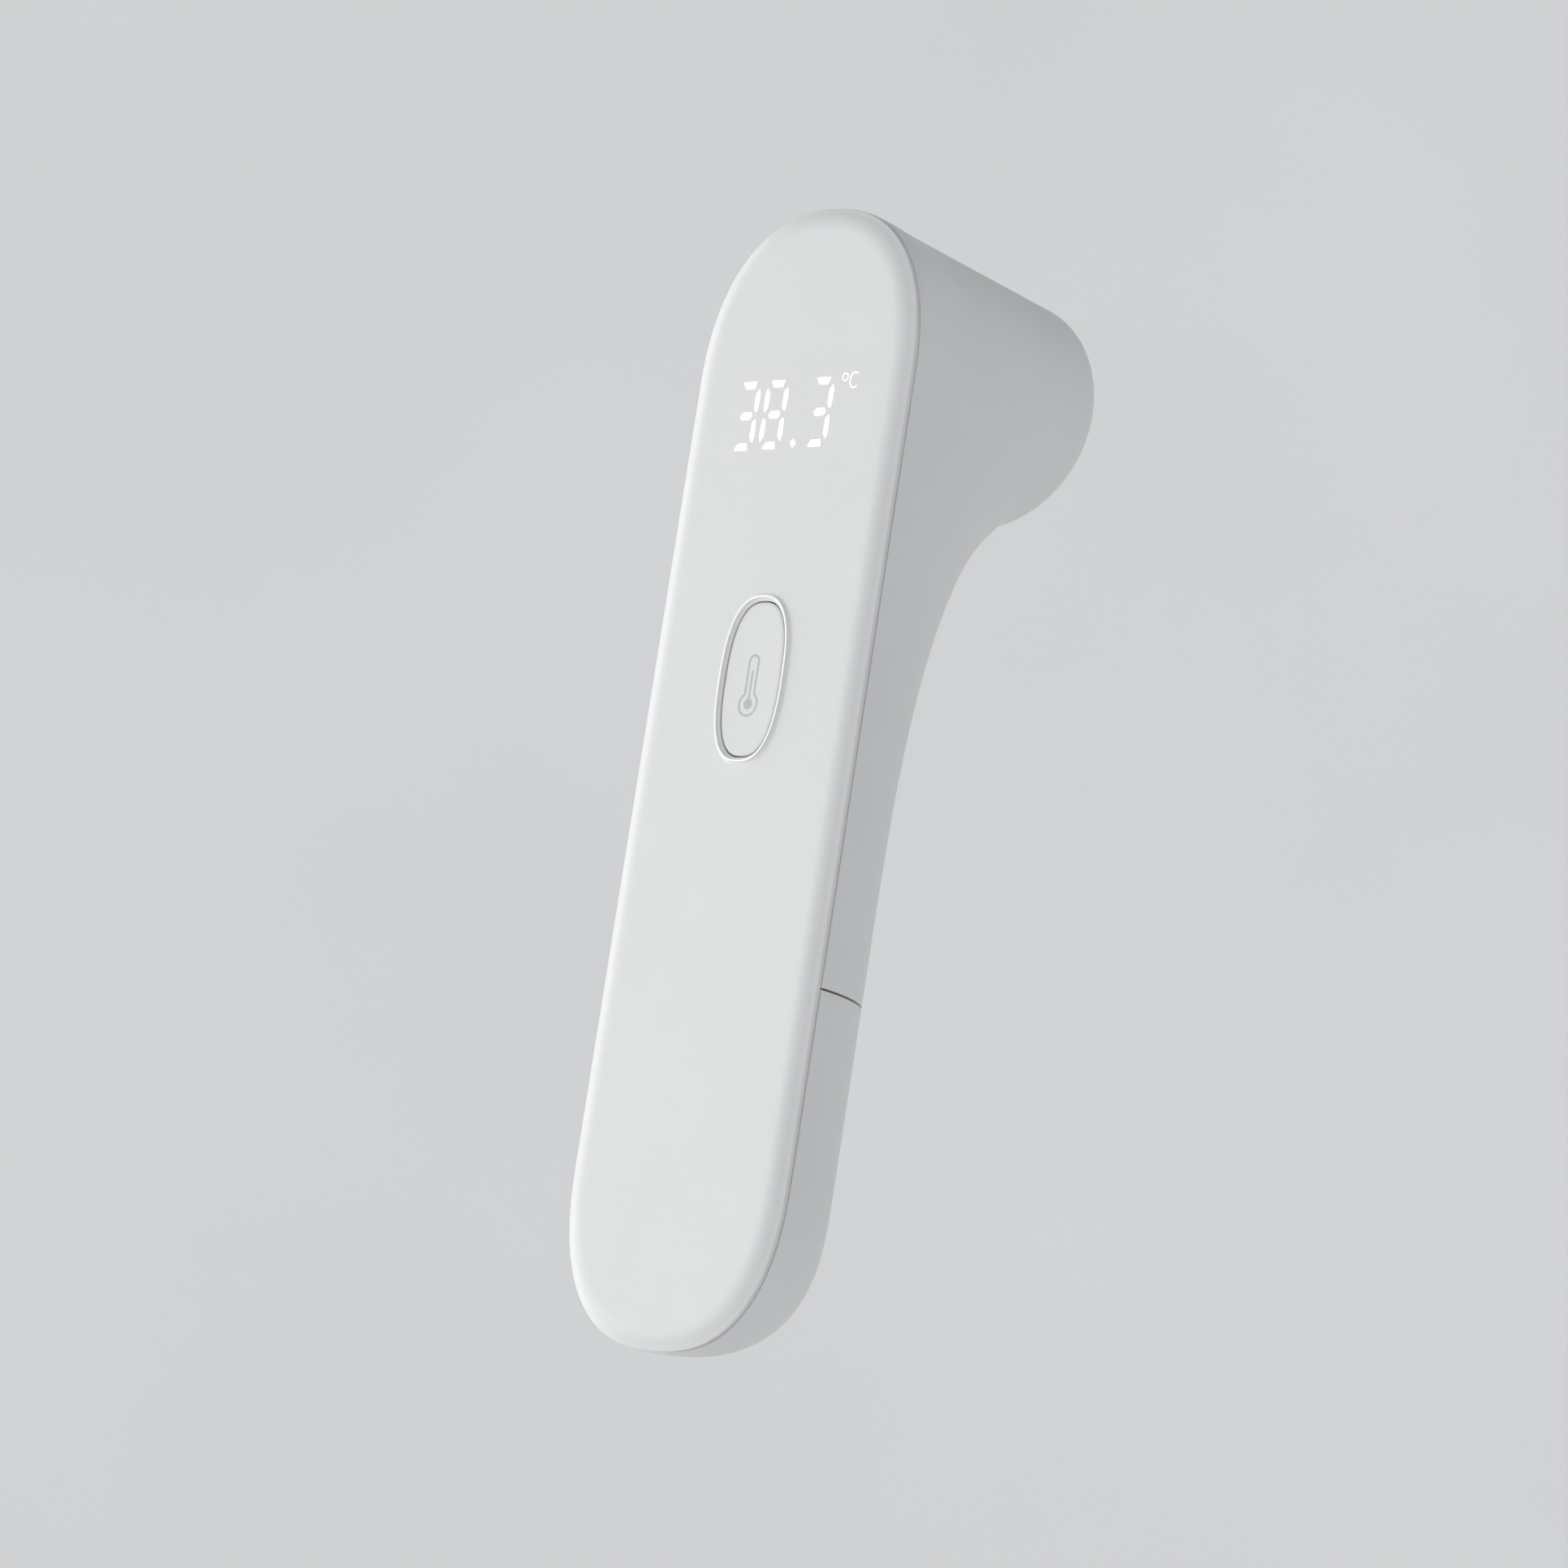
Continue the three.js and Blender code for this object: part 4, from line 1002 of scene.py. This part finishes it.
def nose():
    centre = (0, 0, NOSE_Z)
    disc = [
        (4.4, 37.0), (10.2, 37.0), (10.2, 38.0), (8.42, 38.0), (8.42, 39.75),
        (8.1, 40.1), (7.4, 40.12), (5.2, 39.7), (4.4, 39.35), (4.4, 37.0),
    ]
    bezel = turned(disc, "y", centre, 128, 0.2)
    step = [(5.9, 39.6), (6.2, 39.6), (6.2, 39.93), (5.9, 39.9), (5.9, 39.6)]
    bead = turned(step, "y", centre, 128, 0.05)
    post = [(0, 33.4), (1.25, 33.4), (1.25, 37.2), (0, 37.2)]
    posts = [turned(post, "y", (x, 0, NOSE_Z), 32, 0.1) for x in (-9, 9)]
    parts = join(bezel, bead, *posts)
    piece("nose_bezel_disc", *parts, "bezel_plastic", "housing", ["nose_bezel"], 35)
    frame_corners = np.array([(-2.35, -7.85), (2.35, -7.85), (2.35, -5.35), (-2.35, -5.35)])
    pane_corners = np.array([(-1.75, -7.4), (1.75, -7.4), (1.75, -5.8), (-1.75, -5.8)])
    outside = soft_corners(frame_corners, 0.5) + [0, NOSE_Z]
    inside = soft_corners(pane_corners, 0.35) + [0, NOSE_Z]
    rings = [(outside, 39.2), (outside, 40.1), (inside, 40.1), (inside, 39.2)]
    surround = through([at_depth(loop, y) for loop, y in rings], close_rows=True)
    piece("distance_window_frame", *surround, "bezel_plastic", "housing", (), 35)
    pane = slab(inside, 39.0, 40.05)
    piece("distance_pane", *pane, "red_window", "housing", ["distance_window"], 35)
    flare = [
        (3.1, 33.5), (4.1, 33.5), (4.35, 39.3), (4.2, 39.45),
        (3.95, 39.2), (3.5, 36.6), (3.1, 34.8), (3.1, 33.5),
    ]
    cone = turned(flare, "y", centre, 128, 0.12)
    piece("sensor_reflector", *cone, "reflector", "housing", ["sensor_cone"], 35)
    bulge = [(0, 33.55), (2.85, 33.55), (2.85, 34.1)]
    bulge += [(2.85 * math.cos(a), 34.1 + 0.55 * math.sin(a)) for a in np.linspace(0.15, math.pi / 2, 14)]
    bulge[-1] = (0, 34.65)
    piece("sensor_lens", *turned(bulge, "y", centre, 96, 0.02), "window", "housing", ["ir_window"], 35)


# ---------- batteries ----------


def cell(name, node, x, low, flipped):
    """A battery with its foot at height low; a flipped one has its positive end below."""

    def up(profile):
        return [(r, low + (CELL_LENGTH - h if flipped else h)) for r, h in profile]

    body = CELL_LENGTH - 1
    r = CELL_RADIUS
    sleeve = [
        (r - 0.75, 0.25), (r - 0.25, 0.18), (r, 0.5), (r, body - 0.45), (r - 0.3, body - 0.08),
        (r - 0.9, body - 0.12), (r - 0.9, body - 0.5), (r - 0.75, 0.6), (r - 0.75, 0.25),
    ]
    centre = (x, CELL_Y, 0)
    parts = turned(up(sleeve), "z", centre, 72, 0.22)
    piece(name + "_sleeve", *parts, "cell_sleeve", "housing", [node], 35)
    cap = [
        (0, body - 0.9), (r - 0.95, body - 0.9), (r - 0.95, body - 0.3), (2.6, body - 0.25),
        (1.95, body - 0.1), (1.9, CELL_LENGTH), (0, CELL_LENGTH),
    ]
    base = [(0, 0.0), (3.9, 0.0), (4.25, 0.12), (4.4, 0.4), (4.4, 1.2), (0, 1.2)]
    parts = join(turned(up(cap), "z", centre, 56, 0.15), turned(up(base), "z", centre, 56, 0.12))
    piece(name + "_ends", *parts, "nickel", "housing", (), 35)


def spring(name, node, x, z0, z1, r0, r1):
    """A conical contact spring with its last turns closed flat on each other."""
    points = []
    wire = 0.25
    steps = 260
    turns = 4.2
    for i in range(steps + 1):
        t = i / steps
        lift = t * t * (3 - 2 * t)
        a = 2 * math.pi * turns * t
        r = r0 + (r1 - r0) * t
        z = z0 + wire + (z1 - z0 - 2 * wire) * lift
        points.append((x + r * math.cos(a), CELL_Y + r * math.sin(a), z))
    line = np.array(points)
    tangent = np.gradient(line, axis=0)
    tangent /= np.linalg.norm(tangent, axis=1)[:, None]
    up = np.array([0, 0, 1.0])
    side = np.cross(tangent, up)
    side /= np.linalg.norm(side, axis=1)[:, None]
    over = np.cross(side, tangent)
    sides = 10
    grid = [line + wire * (math.cos(b) * side + math.sin(b) * over) for b in around(sides)]
    points = np.stack(grid, 1).reshape(-1, 3)
    faces = grid_faces(len(line), sides, close_columns=True)
    faces += [tuple(range(sides)), tuple(range(len(points) - sides, len(points)))]
    piece(name, points, faces, "nickel", "housing", [node], 60)


rear_housing()
battery_cover()
front_panel()
button_ridge()
button_cap()
button_icon()
display()
nose()
cell("cell_left", "battery_left", -CELL_X, LINK_Z + 2.6, False)
cell("cell_right", "battery_right", CELL_X, LINK_Z + 0.5, True)
LINK_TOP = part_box("contact_link_plate")[1].z / MM
TOP_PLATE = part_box("contact_plate_left")[0].z / MM
spring("spring_lower", "contact_spring_lower", -CELL_X, LINK_TOP + 0.05, LINK_TOP + 2.15, 2.6, 1.9)
spring("spring_upper", "contact_spring_upper", CELL_X, TOP_PLATE - 2.15, TOP_PLATE - 0.05, 1.9, 2.6)


# ---------- CAD nodes that stay ----------

SLOTS = {part["node"]: part["material_slot"] for part in frame["record"]["subparts"]}
# Bevel widths in millimetres; the nodes not listed get BEVEL
BEVEL = 0.07
BEVELS = {"battery_cradle": 0.25, "display_module": 0.06, "motor_boot": 0.25, "main_board": 0.08}
for name, obj in frame["nodes"].items():
    if obj.hide_render:
        continue
    obj.data.materials.clear()
    obj.data.materials.append(MATERIALS[SLOTS[name]])
    weld = obj.modifiers.new("weld", "WELD")
    weld.merge_threshold = 2e-6
    bevel = obj.modifiers.new("bevel", "BEVEL")
    bevel.width = BEVELS.get(name, BEVEL) * MM
    bevel.segments = 2
    bevel.limit_method = "ANGLE"
    bevel.angle_limit = math.radians(40)
    bevel.use_clamp_overlap = True
    bevel.harden_normals = False


# ---------- stage, lights and camera ----------

FLOOR_Z = -0.62
FLOOR_RADIUS = 1.6
FLOOR_CORNER = 0.9
WALL_TOP = 3.2
LIGHT_TARGET = (0, 0, 0.07)


def stage():
    """A pale floor that curves up into a round wall, wide enough for every view."""
    profile = [(0.0, 0.0), (0.4, 0.0), (1.0, 0.0), (FLOOR_RADIUS, 0.0)]
    for a in np.linspace(0, math.pi / 2, 25)[1:]:
        profile.append((FLOOR_RADIUS + FLOOR_CORNER * math.sin(a), FLOOR_CORNER * (1 - math.cos(a))))
    profile += [(FLOOR_RADIUS + FLOOR_CORNER, h) for h in (1.4, 2.2, WALL_TOP)]
    segments = 96
    points = []
    for a in around(segments):
        points += [(r * math.cos(a), r * math.sin(a), FLOOR_Z + h) for r, h in profile]
    faces = grid_faces(segments, len(profile), close_rows=True)
    mesh = bpy.data.meshes.new("floor")
    mesh.from_pydata(points, [], faces)
    made = bmesh.new()
    made.from_mesh(mesh)
    bmesh.ops.remove_doubles(made, verts=made.verts, dist=1e-5)
    bmesh.ops.recalc_face_normals(made, faces=made.faces)
    made.to_mesh(mesh)
    made.free()
    mesh.shade_smooth()
    obj = add_object("floor", mesh)
    n = Nodes("studio_paper")
    tint = n.mix(n.remap(n.noise(3.0, 2.0), 0.0, 1.0), (0.31, 0.313, 0.316), (0.32, 0.323, 0.326))
    n.link(tint, n.shader.inputs["Base Color"])
    n.link(tint, n.shader.inputs["Emission Color"])
    n.set(Emission_Strength=1.4)
    n.link(n.remap(n.noise(40.0), 0.85, 0.95), n.shader.inputs["Roughness"])
    n.bump([(n.noise(900.0, 3.0), 0.05, 0.0002)])
    mesh.materials.append(n.material)


def area_light(name, direction, distance, size, power):
    light = bpy.data.lights.new(name, "AREA")
    light.shape = "RECTANGLE"
    light.size, light.size_y = size
    light.energy = power
    obj = add_object(name, light)
    way = Vector(direction).normalized()
    obj.location = Vector(LIGHT_TARGET) + way * distance
    obj.rotation_mode = "QUATERNION"
    obj.rotation_quaternion = (-way).to_track_quat("-Z", "Y")
    obj.visible_camera = False


def lights():
    area_light("key", (-0.75, -0.8, -0.02), 1.3, (1.1, 1.0), 8.1)
    area_light("right_fill", (1.0, -0.25, 0.1), 1.5, (1.2, 1.2), 1.0)
    area_light("left_rim", (-1.0, -0.12, 0.05), 1.0, (0.4, 1.2), 3.4)
    area_light("top", (0.1, 0.2, 1.0), 1.6, (1.4, 1.4), 0.8)
    world = bpy.data.worlds.new("studio")
    bpy.context.scene.world = world
    world.use_nodes = True
    background = world.node_tree.nodes["Background"]
    background.inputs["Color"].default_value = (0.9, 0.95, 1.0, 1)
    background.inputs["Strength"].default_value = 0.2


CAMERA_AIM = (0.0040, -0.0160, 0.0680)
CAMERA_AZIMUTH = 42.8
CAMERA_ELEVATION = -9.73
CAMERA_ROLL = 8.83
CAMERA_DISTANCE = 0.6415
CAMERA_LENS = 125.4


def camera():
    a, e = math.radians(CAMERA_AZIMUTH), math.radians(CAMERA_ELEVATION)
    back = Vector((math.sin(a) * math.cos(e), -math.cos(a) * math.cos(e), math.sin(e)))
    data = bpy.data.cameras.new("camera")
    data.lens = CAMERA_LENS
    data.sensor_width = 36.0
    data.clip_start, data.clip_end = 0.01, 20.0
    obj = add_object("camera", data)
    obj.location = Vector(CAMERA_AIM) + back * CAMERA_DISTANCE
    right = Vector((0, 0, 1)).cross(back).normalized()
    up = back.cross(right)
    r = math.radians(CAMERA_ROLL)
    tilted_right = math.cos(r) * right + math.sin(r) * up
    tilted_up = back.cross(tilted_right)
    obj.rotation_mode = "QUATERNION"
    obj.rotation_quaternion = Matrix((tilted_right, tilted_up, back)).transposed().to_quaternion()
    bpy.context.scene.camera = obj


stage()
lights()
camera()
bpy.context.scene.view_settings.view_transform = "Standard"
